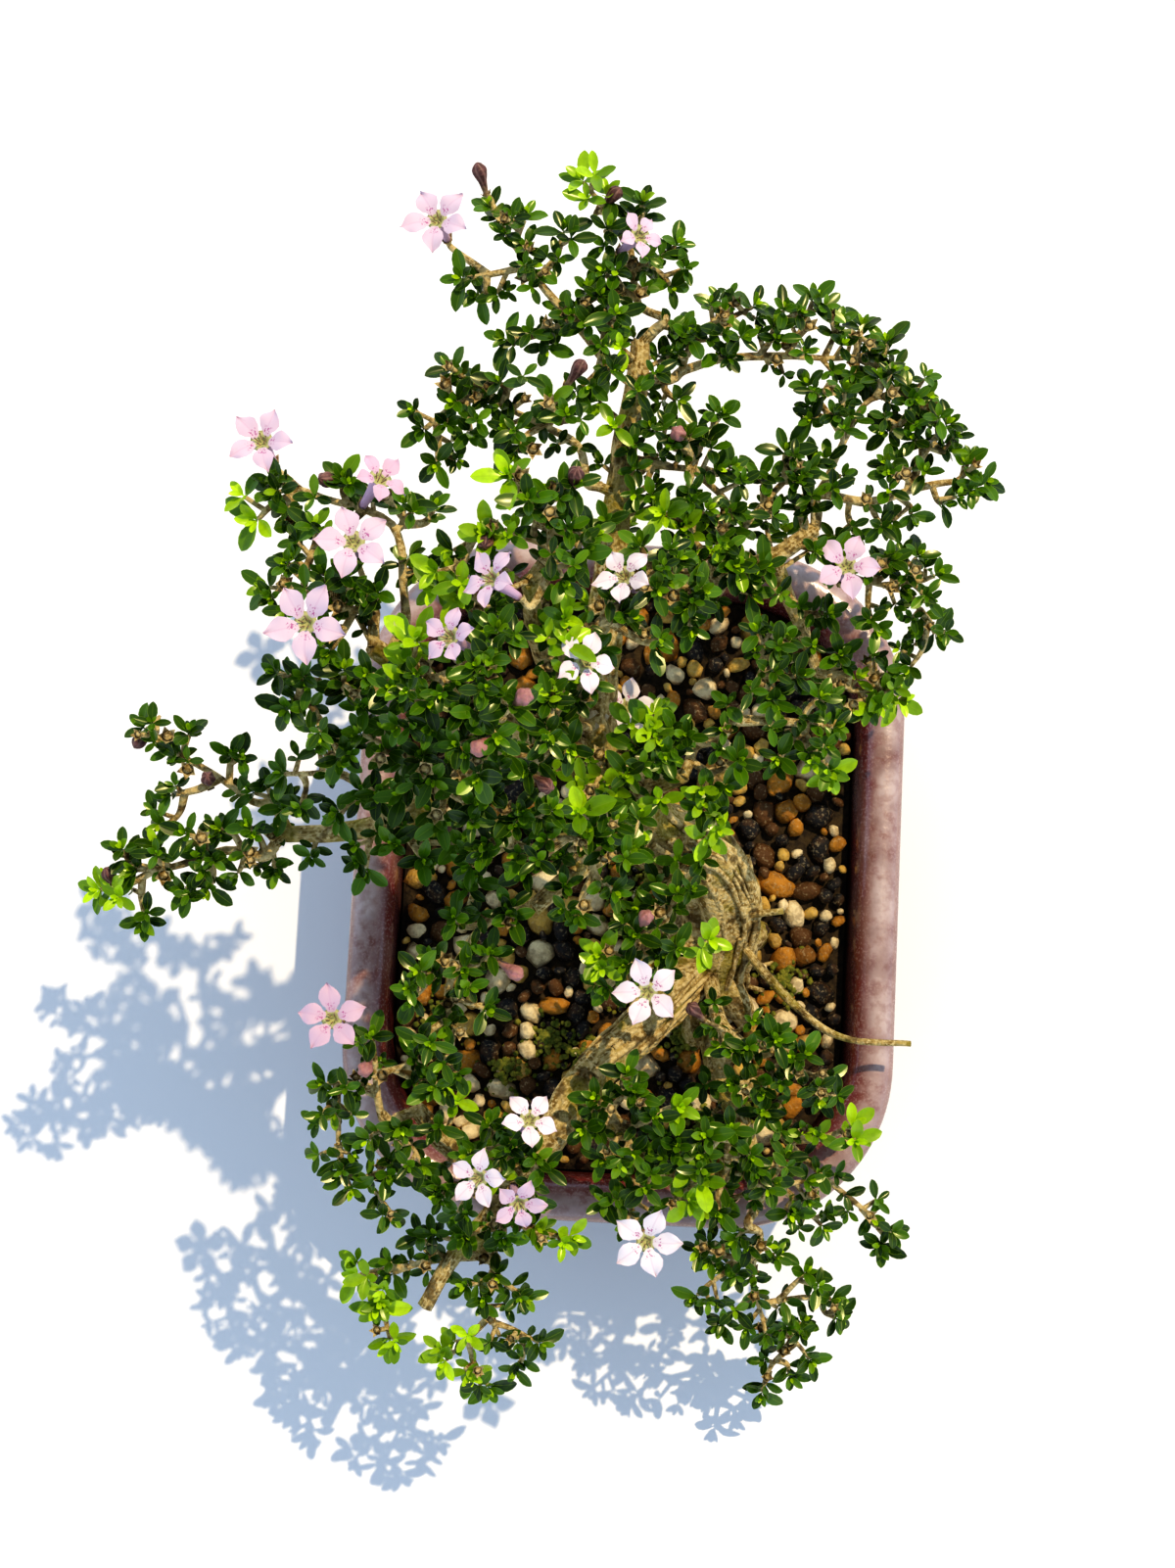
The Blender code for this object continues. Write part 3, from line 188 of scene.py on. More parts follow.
# Wood routes in the photo, as (x, y, height in mm), with the radii in mm at both ends
LIMBS = {
    "bole": ([(728, 1000, 27), (722, 985, 42), (735, 925, 54), (716, 872, 64), (664, 850, 72),
              (628, 806, 82), (592, 726, 92)], 8.6, 4.6),
    "left": ([(622, 800, 82), (580, 770, 96), (530, 742, 110), (480, 720, 122), (430, 692, 131),
              (380, 660, 137)], 3.8, 1.5),
    "far_left": ([(530, 742, 110), (470, 798, 108), (400, 838, 104), (340, 850, 101),
                  (292, 851, 98)], 2.3, 1.3),
    "top": ([(604, 760, 88), (612, 700, 94), (620, 620, 100), (628, 540, 104), (638, 460, 108),
             (652, 385, 112), (655, 350, 112)], 3.4, 1.5),
    "apex": ([(592, 735, 91), (572, 700, 110), (549, 645, 130), (541, 592, 142)], 2.6, 1.3),
    "right": ([(626, 560, 103), (680, 590, 101), (730, 591, 98), (790, 568, 97), (832, 540, 96)],
              2.2, 1.3),
    "over_rim": ([(790, 568, 97), (806, 612, 88), (822, 652, 80), (835, 688, 74)], 1.3, 1.0),
    "middle": ([(634, 812, 81), (665, 804, 92), (698, 793, 98)], 1.9, 1.3),
    "front": ([(664, 850, 72), (628, 862, 90), (585, 893, 102), (545, 927, 104)], 2.3, 1.4),
    "lower": ([(716, 985, 48), (660, 1045, 60), (600, 1102, 68), (555, 1165, 73), (505, 1195, 76),
               (458, 1168, 80), (425, 1132, 84)], 4.4, 1.5),
    "bottom": ([(540, 1178, 74), (508, 1228, 72), (482, 1272, 68)], 2.2, 1.4),
    "cut_stub": ([(500, 1240, 71), (462, 1285, 68), (434, 1334, 66)], 1.5, 1.4),
    "centre_low": ([(600, 1102, 68), (632, 1160, 70), (680, 1193, 68), (732, 1200, 64)], 2.4, 1.4),
    "right_low": ([(718, 990, 46), (724, 1050, 54), (742, 1112, 62), (764, 1172, 63),
                   (775, 1224, 60)], 3.0, 1.5),
    "side_low": ([(722, 985, 46), (736, 1045, 66), (775, 1078, 70)], 1.6, 1.1),
    "heart": ([(716, 872, 64), (690, 900, 76), (668, 945, 84)], 1.6, 1.1),
}
ROOTS = [
    [(724, 985, 46), (752, 1022, 44), (766, 1050, 35)],
    [(724, 985, 46), (712, 1040, 44), (704, 1078, 35)],
    [(724, 985, 46), (688, 1002, 44), (664, 1012, 35)],
    [(726, 980, 48), (762, 958, 44), (784, 952, 35)],
]

# Leafy stems: the point on the wood where each starts, its arms, its buds and its blooms.
# A bloom is (x, y, height, way it tips in x and y, width factor).
STEMS = [
    dict(at=(648, 375, 112), arms=[[(600, 345, 113), (560, 300, 115), (528, 255, 116),
         (503, 215, 116)], [(575, 238, 118)], [(474, 285, 114)], [(518, 347, 112)],
         [(600, 298, 116)], [(558, 352, 112)], [(492, 302, 112)], [(535, 225, 119)],
         [(545, 275, 118)]], buds=[(487, 166, 120)], blooms=[(446, 224, 119, -0.2, 0.1, 1.0)]),
    dict(at=(654, 352, 112), arms=[[(652, 310, 112), (645, 262, 111), (642, 228, 112)],
         [(596, 186, 115)], [(690, 252, 110)], [(684, 292, 108)], [(656, 210, 113)],
         [(618, 280, 116)], [(602, 330, 116)], [(692, 338, 113)], [(628, 322, 118)],
         [(604, 392, 117)], [(620, 235, 115)]], buds=[(634, 192, 116)],
         blooms=[(654, 240, 121, 0.5, 0.1, 0.7)]),
    dict(at=(652, 385, 112), arms=[[(700, 378, 109), (745, 366, 107), (800, 364, 103),
         (850, 366, 99), (885, 362, 97)], [(706, 345, 113)], [(737, 322, 112)], [(768, 314, 110)],
         [(792, 338, 107)], [(830, 308, 104)], [(856, 332, 101)], [(880, 336, 98)],
         [(912, 376, 95)], [(905, 352, 96)], [(870, 392, 95)], [(800, 318, 108)],
         [(755, 345, 111)], [(690, 408, 108)]]),
    dict(at=(822, 546, 96), arms=[[(838, 500, 98), (862, 450, 99), (884, 412, 99), (912, 402, 98)],
         [(942, 405, 97)], [(928, 428, 96)], [(826, 395, 102)], [(862, 402, 101)],
         [(830, 428, 100)], [(908, 440, 96)], [(824, 512, 99)], [(898, 388, 100)]]),
    dict(at=(834, 539, 96), arms=[[(890, 512, 95), (940, 497, 94), (975, 492, 93),
         (1003, 492, 93)], [(942, 466, 97), (965, 436, 98)], [(934, 450, 98)], [(966, 462, 96)],
         [(908, 476, 97)], [(930, 524, 91)], [(872, 544, 91)], [(898, 532, 91)], [(960, 514, 91)],
         [(984, 476, 94)]]),
    dict(at=(745, 588, 98), arms=[[(758, 540, 101), (785, 508, 102), (808, 484, 102)],
         [(802, 464, 103)], [(826, 474, 101)], [(776, 488, 103)], [(792, 520, 99)]]),
    dict(at=(637, 468, 107), arms=[[(690, 478, 110), (728, 480, 108)], [(735, 426, 110)],
         [(748, 520, 104)], [(722, 450, 110)], [(700, 448, 113)], [(702, 512, 109)],
         [(738, 545, 104)], [(668, 440, 112)], [(745, 480, 107)], [(665, 505, 110)]],
         buds=[(690, 440, 117)]),
    dict(at=(826, 545, 96), arms=[[(868, 588, 88), (918, 602, 86)], [(954, 588, 86)],
         [(936, 570, 88)], [(908, 572, 90)], [(940, 628, 82)], [(954, 646, 80)], [(930, 680, 78)],
         [(894, 640, 84)]], blooms=[(865, 578, 100, 0.0, 0.1, 1.0)]),
    dict(at=(834, 686, 74), arms=[[(868, 704, 73), (900, 706, 71)], [(905, 688, 72)],
         [(915, 714, 69)], [(884, 722, 70)], [(848, 716, 70)], [(858, 670, 77)]]),
    dict(at=(697, 793, 98), arms=[[(738, 752, 102), (768, 705, 104), (785, 668, 104)],
         [(774, 648, 106)], [(800, 656, 105)], [(812, 690, 102)], [(812, 738, 98), (850, 742, 95)],
         [(836, 714, 99)], [(826, 766, 94)], [(796, 772, 95)], [(846, 788, 90)], [(738, 802, 97)],
         [(752, 778, 98)], [(722, 852, 92)], [(718, 824, 95)], [(702, 752, 106)],
         [(790, 716, 103)]]),
    dict(at=(660, 806, 91), arms=[[(664, 742, 106)], [(690, 746, 105)], [(650, 765, 106)],
         [(602, 812, 108)], [(640, 790, 108)], [(678, 770, 106)], [(622, 830, 106)],
         [(676, 764, 84), (662, 734, 66)]], blooms=[(641, 722, 76, 0.1, 0.0, 0.9)]),
    dict(at=(632, 505, 106), arms=[[(590, 455, 113), (545, 430, 117), (500, 408, 119)],
         [(463, 378, 120)], [(512, 392, 122)], [(434, 438, 117)], [(446, 472, 115)],
         [(562, 412, 120)], [(480, 440, 118)], [(528, 462, 117)], [(466, 410, 119)],
         [(578, 425, 121)], [(520, 440, 120)]], buds=[(597, 368, 124)]),
    dict(at=(541, 594, 142), arms=[[(545, 545, 148), (560, 508, 152)], [(520, 488, 153)],
         [(584, 496, 154)], [(604, 546, 149)], [(540, 512, 155)], [(498, 545, 149)],
         [(464, 562, 144)], [(468, 606, 146)], [(492, 640, 148)], [(574, 590, 148)],
         [(590, 566, 149)], [(448, 600, 142)]], buds=[(590, 478, 157), (494, 558, 151)],
         blooms=[(500, 590, 156, -0.75, 0.25, 0.8)]),
    dict(at=(551, 650, 128), arms=[[(590, 640, 128), (640, 633, 124)], [(690, 574, 123)],
         [(712, 604, 121)], [(706, 640, 119)], [(666, 658, 121)], [(668, 600, 126)],
         [(700, 618, 122)], [(576, 632, 138)], [(655, 560, 124)]],
         blooms=[(637, 588, 130, -0.35, 0.2, 0.85)]),
    dict(at=(722, 592, 99), arms=[[(700, 540, 109)], [(735, 552, 107)], [(748, 576, 105)],
         [(764, 606, 97)], [(720, 522, 109)], [(680, 526, 111)], [(780, 580, 101)],
         [(712, 568, 108)]]),
    dict(at=(382, 661, 137), arms=[[(352, 622, 140), (332, 590, 141)], [(275, 600, 137)],
         [(302, 572, 139)], [(338, 664, 138)], [(322, 540, 139)], [(385, 606, 143)],
         [(352, 590, 143)]], blooms=[(312, 636, 148, -0.15, -0.05, 1.05),
         (361, 553, 147, 0.0, 0.15, 1.0)]),
    dict(at=(400, 672, 136), arms=[[(412, 600, 138), (400, 536, 138), (330, 508, 136),
         (290, 494, 134)], [(264, 530, 133)], [(300, 536, 134)], [(350, 492, 138)],
         [(412, 518, 138)], [(442, 522, 134)], [(276, 502, 134)], [(430, 580, 137)]],
         buds=[(326, 488, 141)], blooms=[(267, 450, 139, -0.15, 0.2, 0.9),
         (389, 488, 146, 0.55, 0.55, 0.75)]),
    dict(at=(412, 680, 133), arms=[[(352, 702, 134)], [(284, 688, 133)], [(296, 722, 131)],
         [(326, 746, 129)], [(352, 686, 138)], [(372, 722, 133)], [(346, 772, 125)],
         [(318, 700, 134)]]),
    dict(at=(440, 697, 130), arms=[[(402, 704, 146)], [(426, 656, 150)], [(380, 690, 144)],
         [(440, 742, 145)], [(462, 696, 151)], [(410, 740, 142)], [(436, 715, 150)]],
         blooms=[(458, 650, 157, -0.5, 0.1, 0.75)]),
    dict(at=(490, 723, 120), arms=[[(472, 728, 152)], [(500, 684, 155)], [(520, 722, 152)],
         [(488, 790, 145)], [(508, 645, 153)], [(505, 750, 151)], [(470, 760, 148)]],
         buds=[(483, 768, 153), (539, 708, 157)]),
    dict(at=(548, 752, 106), arms=[[(560, 716, 140)], [(582, 762, 136)], [(540, 786, 136)],
         [(578, 660, 140)], [(602, 700, 132)], [(560, 745, 141)], [(520, 770, 141)]],
         buds=[(562, 806, 140)], blooms=[(597, 676, 140, 0.3, 0.1, 0.85)]),
    dict(at=(470, 799, 108), arms=[[(432, 772, 134)], [(396, 768, 130)], [(450, 838, 124)],
         [(482, 820, 130)], [(412, 812, 124)], [(504, 802, 132)], [(440, 795, 134)],
         [(370, 750, 130)]]),
    dict(at=(398, 838, 104), arms=[[(352, 792, 119), (292, 790, 112)], [(326, 766, 116)],
         [(374, 886, 105)], [(430, 876, 112)], [(346, 828, 114)], [(400, 862, 112)],
         [(468, 862, 114)], [(312, 815, 110)], [(385, 810, 120)]]),
    dict(at=(296, 851, 98), arms=[[(258, 818, 99), (218, 790, 98), (176, 768, 97)],
         [(204, 806, 99), (176, 812, 98)], [(170, 842, 96)], [(236, 772, 100)], [(148, 744, 97)],
         [(192, 750, 99)], [(290, 825, 102)], [(275, 805, 101)]], buds=[(137, 764, 96),
         (212, 792, 103)]),
    dict(at=(290, 851, 98), arms=[[(232, 868, 97), (176, 885, 96), (140, 888, 96)],
         [(256, 845, 103)], [(282, 886, 95)], [(244, 890, 96)], [(214, 906, 94)],
         [(192, 852, 100)], [(104, 908, 93)], [(148, 938, 91)], [(160, 866, 98)], [(126, 868, 97)],
         [(190, 908, 93)], [(228, 848, 101)]], buds=[(108, 886, 96)]),
    dict(at=(588, 890, 101), arms=[[(600, 850, 122)], [(642, 868, 113)], [(560, 858, 122)],
         [(624, 908, 108)], [(652, 838, 112)], [(540, 888, 118)], [(590, 932, 108)],
         [(500, 862, 124)], [(524, 832, 128)], [(562, 828, 128)], [(482, 884, 117)],
         [(592, 830, 124)], [(626, 842, 120)]]),
    dict(at=(548, 925, 104), arms=[[(482, 958, 101), (458, 1010, 97), (462, 1060, 93),
         (455, 1108, 90)], [(465, 938, 105)], [(430, 992, 100)], [(424, 1018, 98)],
         [(474, 990, 104)], [(522, 936, 108)], [(495, 1030, 98)], [(486, 900, 107)],
         [(430, 1060, 96)], [(500, 975, 104)]], buds=[(533, 998, 106)]),
    dict(at=(670, 942, 84), arms=[[(640, 985, 89)], [(690, 968, 89)], [(722, 960, 87)],
         [(614, 975, 89)], [(622, 1008, 86)], [(690, 914, 92)], [(680, 990, 87)],
         [(650, 955, 92)]], buds=[(662, 932, 97)], blooms=[(661, 1013, 98, 0.0, 0.0, 1.0)]),
    dict(at=(773, 1077, 70), arms=[[(812, 1090, 71), (842, 1102, 71)], [(792, 1062, 77)],
         [(780, 1110, 73)], [(750, 1072, 77)], [(820, 1078, 74)], [(836, 1118, 69)],
         [(752, 1106, 75)]], buds=[(704, 1026, 86)]),
    dict(at=(427, 1134, 84), arms=[[(380, 1110, 88), (334, 1106, 88)], [(380, 1060, 93)],
         [(342, 1132, 86)], [(424, 1082, 92)], [(408, 1150, 87)], [(442, 1108, 91)],
         [(346, 1182, 82)], [(358, 1212, 80)], [(398, 1238, 77)], [(430, 1188, 84)],
         [(378, 1162, 85)], [(395, 1200, 82)]], buds=[(371, 1096, 97)],
         blooms=[(339, 1040, 100, -0.1, 0.1, 1.0)]),
    dict(at=(510, 1193, 76), arms=[[(520, 1172, 88)], [(478, 1180, 88)], [(556, 1192, 84)],
         [(468, 1238, 80)], [(450, 1212, 83)], [(500, 1150, 88)], [(545, 1225, 80)]],
         blooms=[(541, 1143, 94, 0.2, 0.3, 0.85), (488, 1203, 95, -0.3, -0.1, 0.85),
         (530, 1230, 91, 0.2, -0.4, 0.8)]),
    dict(at=(506, 1230, 72), arms=[[(545, 1252, 74)], [(580, 1262, 72)], [(530, 1236, 78)],
         [(476, 1262, 75)], [(515, 1262, 75)]]),
    dict(at=(484, 1268, 68), arms=[[(494, 1325, 62), (510, 1364, 58)], [(440, 1286, 67),
         (402, 1300, 64)], [(366, 1302, 60)], [(384, 1332, 59)], [(398, 1366, 54)],
         [(456, 1388, 58)], [(498, 1414, 54)], [(550, 1370, 58)], [(534, 1322, 62)],
         [(478, 1312, 66)], [(528, 1396, 56)], [(478, 1400, 56)], [(430, 1262, 69)],
         [(505, 1300, 66)]]),
    dict(at=(632, 1160, 70), arms=[[(610, 1122, 82)], [(640, 1098, 84)], [(666, 1142, 82)],
         [(618, 1182, 78)], [(692, 1130, 80)], [(598, 1152, 80)], [(650, 1120, 85)],
         [(645, 1175, 80)]]),
    dict(at=(684, 1194, 68), arms=[[(702, 1226, 74)], [(620, 1226, 74)], [(692, 1172, 78)],
         [(660, 1212, 78)], [(638, 1248, 73)], [(715, 1205, 76)]],
         blooms=[(660, 1268, 84, 0.0, -0.1, 1.05)]),
    dict(at=(732, 1200, 64), arms=[[(746, 1154, 76)], [(766, 1180, 72)], [(722, 1160, 79)],
         [(786, 1206, 66)], [(734, 1236, 68)], [(822, 1206, 61)], [(838, 1250, 54)],
         [(800, 1184, 64)], [(806, 1238, 58)], [(704, 1190, 77)]]),
    dict(at=(775, 1224, 60), arms=[[(776, 1262, 60), (768, 1304, 50), (784, 1362, 33)],
         [(742, 1290, 52)], [(716, 1276, 58)], [(712, 1322, 51)], [(738, 1352, 44)],
         [(752, 1264, 60)], [(848, 1326, 38)], [(822, 1300, 46)], [(826, 1386, 26)],
         [(778, 1420, 22)], [(806, 1402, 25)], [(818, 1350, 34)], [(790, 1280, 52)],
         [(852, 1345, 36)]]),
    dict(at=(744, 1120, 60), arms=[[(790, 1150, 60), (840, 1200, 56), (888, 1240, 51)],
         [(905, 1256, 49)], [(900, 1272, 48)], [(868, 1150, 62)], [(780, 1135, 66)]]),
]

# Bare twigs with no leaves, part of the wood
BARE = [
    [(735, 932, 52), (770, 980, 55), (815, 1030, 57), (862, 1060, 58), (930, 1066, 58)],
    [(730, 950, 50), (765, 935, 58), (800, 930, 60)],
    [(604, 760, 90), (598, 742, 98), (576, 752, 106)],
]


# Set-up
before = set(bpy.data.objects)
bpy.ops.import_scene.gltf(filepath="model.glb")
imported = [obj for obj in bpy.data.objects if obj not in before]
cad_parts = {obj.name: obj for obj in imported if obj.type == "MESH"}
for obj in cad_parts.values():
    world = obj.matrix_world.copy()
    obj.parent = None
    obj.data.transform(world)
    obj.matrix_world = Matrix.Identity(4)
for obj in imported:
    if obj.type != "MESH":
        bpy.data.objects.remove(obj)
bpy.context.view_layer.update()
pot_low, pot_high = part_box("pot")
SHIFT = Vector(((pot_low.x + pot_high.x) / 2, (pot_low.y + pot_high.y) / 2, 0.0))
UPWARD = Vector((0.0, 0.0, 1.0))


def camera_axes():
    """The camera's side, up and viewing directions: it leans and turns a little."""
    ahead = Vector((0.0, math.sin(LEAN), -math.cos(LEAN)))
    up = Vector((0.0, math.cos(LEAN), math.sin(LEAN)))
    side = Vector((1.0, 0.0, 0.0))
    c, s = math.cos(TURN), math.sin(TURN)
    return side * c + up * s, up * c - side * s, ahead


SIDE, UP, AHEAD = camera_axes()
EYE = (
    Vector((0, 0, POT_HEIGHT))
    - SIDE * ((RIM_MID_PX[0] - IMAGE_MID[0]) / RIM_PX_PER_MM * MM)
    + UP * ((RIM_MID_PX[1] - IMAGE_MID[1]) / RIM_PX_PER_MM * MM)
    - AHEAD * (FOCAL_PX / RIM_PX_PER_MM * MM)
    + SHIFT
)


def spot(point):
    """The place in space of a photo point with its height in mm."""
    x, y, height = point
    ray = AHEAD * FOCAL_PX + SIDE * (x - IMAGE_MID[0]) - UP * (y - IMAGE_MID[1])
    return EYE + ray * ((height * MM - EYE.z) / ray.z)


def near_any(point, places, reach):
    """True where a photo point lies within reach of one of the places."""
    return any(math.dist(point[:2], place) < reach for place in places)


def fewer(count):
    return count


# Shapes
def turns(sides):
    """Equal angles round a full turn."""
    return [math.tau * k / sides for k in range(sides)]


def side_ways(axis):
    """Two directions square to an axis and to each other."""
    side = axis.orthogonal().normalized()
    return side, axis.cross(side)


def around(ways, angle):
    """The direction at an angle from the first of two ways towards the second."""
    return ways[0] * math.cos(angle) + ways[1] * math.sin(angle)


def grid_faces(rows, columns, closed=False):
    """Quads between rows of points, closed round where each row is a ring."""
    faces = []
    for r in range(rows - 1):
        for c in range(columns if closed else columns - 1):
            d = (c + 1) % columns
            faces.append((r * columns + c, r * columns + d,
                          (r + 1) * columns + d, (r + 1) * columns + c))
    return faces


def last_ring(points, sides):
    """The face that closes the last ring of points."""
    return tuple(range(len(points) - sides, len(points)))


class Patch:
    """Collects many small shapes into one piece, with a UV and a tint for each point."""

    def __init__(self):
        self.points, self.faces, self.uvs, self.tints = [], [], [], []

    def add(self, points, faces, uvs=None, tint=0.0):
        base = len(self.points)
        self.points += [tuple(p) for p in points]
        self.faces += [tuple(base + i for i in face) for face in faces]
        self.uvs += uvs or [(0.0, 0.0)] * len(points)
        self.tints += [tint] * len(points)

    def make(self, name, look, slot_name, nodes=()):
        mesh = bpy.data.meshes.new(name)
        mesh.from_pydata(self.points, [], self.faces)
        layer = mesh.uv_layers.new(name="UVMap")
        tints = mesh.attributes.new("tint", "FLOAT", "POINT")
        for loop in mesh.loops:
            layer.data[loop.index].uv = self.uvs[loop.vertex_index]
        tints.data.foreach_set("value", self.tints)
        mesh.polygons.foreach_set("use_smooth", [True] * len(mesh.polygons))
        mesh.materials.append(look)
        made = bpy.data.objects.new(name, mesh)
        bpy.context.scene.collection.objects.link(made)
        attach(made, "root")
        if nodes:
            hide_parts(*nodes)


# Shared effect
def mottle_group():
    """A mask of soft spots: noise through a ramp, with named size, share and edge."""
    group = bpy.data.node_groups.new("mottle", "ShaderNodeTree")
    kind = "NodeSocketFloat"
    for label, value in (("Size", 300.0), ("Share", 0.5), ("Edge", 0.1)):
        socket = group.interface.new_socket(name=label, in_out="INPUT", socket_type=kind)
        socket.default_value = value
    group.interface.new_socket(name="Mask", in_out="OUTPUT", socket_type=kind)
    start = group.nodes.new("NodeGroupInput")
    end = group.nodes.new("NodeGroupOutput")
    place = group.nodes.new("ShaderNodeTexCoord")
    spots = group.nodes.new("ShaderNodeTexNoise")
    spots.inputs["Detail"].default_value = 4.0
    group.links.new(place.outputs["Object"], spots.inputs["Vector"])
    group.links.new(start.outputs["Size"], spots.inputs["Scale"])
    span = group.nodes.new("ShaderNodeMapRange")
    span.interpolation_type = "SMOOTHSTEP"
    group.links.new(spots.outputs["Fac"], span.inputs["Value"])
    for operation, limit in (("SUBTRACT", "From Min"), ("ADD", "From Max")):
        edge = group.nodes.new("ShaderNodeMath")
        edge.operation = operation
        group.links.new(start.outputs["Share"], edge.inputs[0])
        group.links.new(start.outputs["Edge"], edge.inputs[1])
        group.links.new(edge.outputs[0], span.inputs[limit])
    group.links.new(span.outputs["Result"], end.inputs["Mask"])
    return group


MOTTLE = mottle_group()


class Look:
    """A material with short helpers for its nodes."""

    def __init__(self, name, colour, roughness):
        self.material = bpy.data.materials.new(name)
        self.material.use_nodes = True
        self.tree = self.material.node_tree
        self.shader = self.tree.nodes["Principled BSDF"]
        self.colour = self.rgb(colour)
        self.set("Base Color", (*colour, 1.0))
        self.set("Roughness", roughness)

    def set(self, label, value):
        self.shader.inputs[label].default_value = value

    def node(self, kind):
        return self.tree.nodes.new("ShaderNode" + kind)

    def rgb(self, colour):
        made = self.node("RGB")
        made.outputs[0].default_value = (*colour, 1.0)
        return made.outputs[0]

    def mottle(self, size, share, edge):
        made = self.node("Group")
        made.node_tree = MOTTLE
        made.inputs["Size"].default_value = size
        made.inputs["Share"].default_value = share
        made.inputs["Edge"].default_value = edge
        return made.outputs["Mask"]

    def math(self, operation, a, b=0.0):
        made = self.node("Math")
        made.operation = operation
        for k, value in enumerate((a, b)):
            if isinstance(value, (int, float)):
                made.inputs[k].default_value = value
            else:
                self.tree.links.new(value, made.inputs[k])
        return made.outputs[0]

    def times(self, a, b):
        return self.math("MULTIPLY", a, b)

    def ramp(self, value, low, high, out_low=0.0, out_high=1.0):
        made = self.node("MapRange")
        made.interpolation_type = "SMOOTHSTEP"
        self.tree.links.new(value, made.inputs["Value"])
        made.inputs["From Min"].default_value = low
        made.inputs["From Max"].default_value = high
        made.inputs["To Min"].default_value = out_low
        made.inputs["To Max"].default_value = out_high
        return made.outputs["Result"]

    def blend(self, mask, colour):
        """Mixes a colour over what is there, by a mask."""
        made = self.node("Mix")
        made.data_type = "RGBA"
        self.tree.links.new(mask, made.inputs["Factor"])
        self.tree.links.new(self.colour, made.inputs["A"])
        self.tree.links.new(self.rgb(colour), made.inputs["B"])
        self.colour = made.outputs["Result"]

    def spots(self, size, share, edge, strength, colour):
        """Soft spots of a colour over what is there."""
        self.blend(self.times(self.mottle(size, share, edge), strength), colour)

    def uv(self):
        """How far each point lies along its shape, and how far across or round it."""
        place = self.node("TexCoord")
        parts = self.node("SeparateXYZ")
        self.tree.links.new(place.outputs["UV"], parts.inputs[0])
        return parts.outputs["X"], parts.outputs["Y"]

    def off_middle(self, across):
        """How far a point lies from the middle line, up to 0.5 at the margin."""
        return self.math("ABSOLUTE", self.math("SUBTRACT", across, 0.5))

    def tint(self):
        made = self.node("Attribute")
        made.attribute_name = "tint"
        return made.outputs["Fac"]

    def bump(self, size, strength, distance):
        made = self.node("Bump")
        made.inputs["Strength"].default_value = strength
        made.inputs["Distance"].default_value = distance
        self.tree.links.new(self.mottle(size, 0.5, 0.3), made.inputs["Height"])
        self.tree.links.new(made.outputs["Normal"], self.shader.inputs["Normal"])

    def done(self):
        self.tree.links.new(self.colour, self.shader.inputs["Base Color"])
        return self.material


# Materials
def glaze_look():
    """Mauve glaze: pale speckle on the lip's crest, partly thin glaze and partly painted
    highlight, burgundy where it runs inward.
    """
    look = Look("mauve glaze", (0.235, 0.115, 0.092), 0.26)
    _, up_wall = look.uv()
    look.spots(60.0, 0.52, 0.12, 0.55, (0.33, 0.195, 0.165))
    inward = look.times(look.ramp(up_wall, LIP_CREST + 0.01, LIP_CREST + 0.10),
                        look.mottle(46.0, 0.43, 0.12))
    look.blend(look.times(inward, 0.92), (0.165, 0.022, 0.022))
    # Pale streaky band along the lip's crest: partly where the glaze breaks thin, partly a painted
    # highlight.
    crest = look.times(look.ramp(up_wall, LIP_CREST - 0.12, LIP_CREST - 0.02),
                       look.ramp(up_wall, LIP_CREST + 0.13, LIP_CREST + 0.02))
    streaky_break_and_highlight = look.math("ADD", look.mottle(380.0, 0.47, 0.12), look.mottle(90.0, 0.50, 0.12))
    look.blend(look.times(look.times(crest, streaky_break_and_highlight), 0.42), (0.56, 0.45, 0.41))
    look.spots(1900.0, 0.57, 0.05, 0.35, (0.46, 0.33, 0.30))
    look.spots(190.0, 0.56, 0.10, 0.35, (0.150, 0.058, 0.045))
    # Darker from the lip's outer edge down the outer wall: partly a brown glaze edge, partly
    # painted shade on the faces turned from the light.
    look.blend(look.ramp(up_wall, LIP_CREST - 0.15, LIP_CREST - 0.28, 0.0, 0.55),
               (0.105, 0.045, 0.034))
    look.set("Coat Weight", 0.5)
    look.set("Coat Roughness", 0.16)
    look.bump(900.0, 0.15, 0.0003)
    return look.done()


def leaf_look():
    """Glossy leaf: near black green to lime by its tint, with a pale midrib and pale margins that
    are partly the leaf's own edge and partly a painted highlight.
    """
    look = Look("serissa leaf", (0.007, 0.027, 0.001), 0.27)
    _, across = look.uv()
    tint = look.tint()
    look.blend(look.ramp(tint, 0.0, 0.40), (0.080, 0.185, 0.003))
    look.blend(look.ramp(tint, 0.40, 1.0), (0.50, 0.74, 0.012))
    look.spots(700.0, 0.52, 0.16, 0.25, (0.06, 0.130, 0.003))
    off = look.off_middle(across)
    # Pale lime margin: partly the leaf's own pale edge, partly a painted highlight where the
    # glossy edge catches light.
    look.blend(look.ramp(off, 0.44, 0.50, 0.0, 0.50), (0.36, 0.52, 0.06))
    look.blend(look.ramp(off, 0.0, 0.05, 0.30, 0.0), (0.25, 0.36, 0.02))
    look.set("Specular IOR Level", 0.45)
    look.set("Specular Tint", (0.98, 1.0, 0.74, 1.0))
    return look.done()


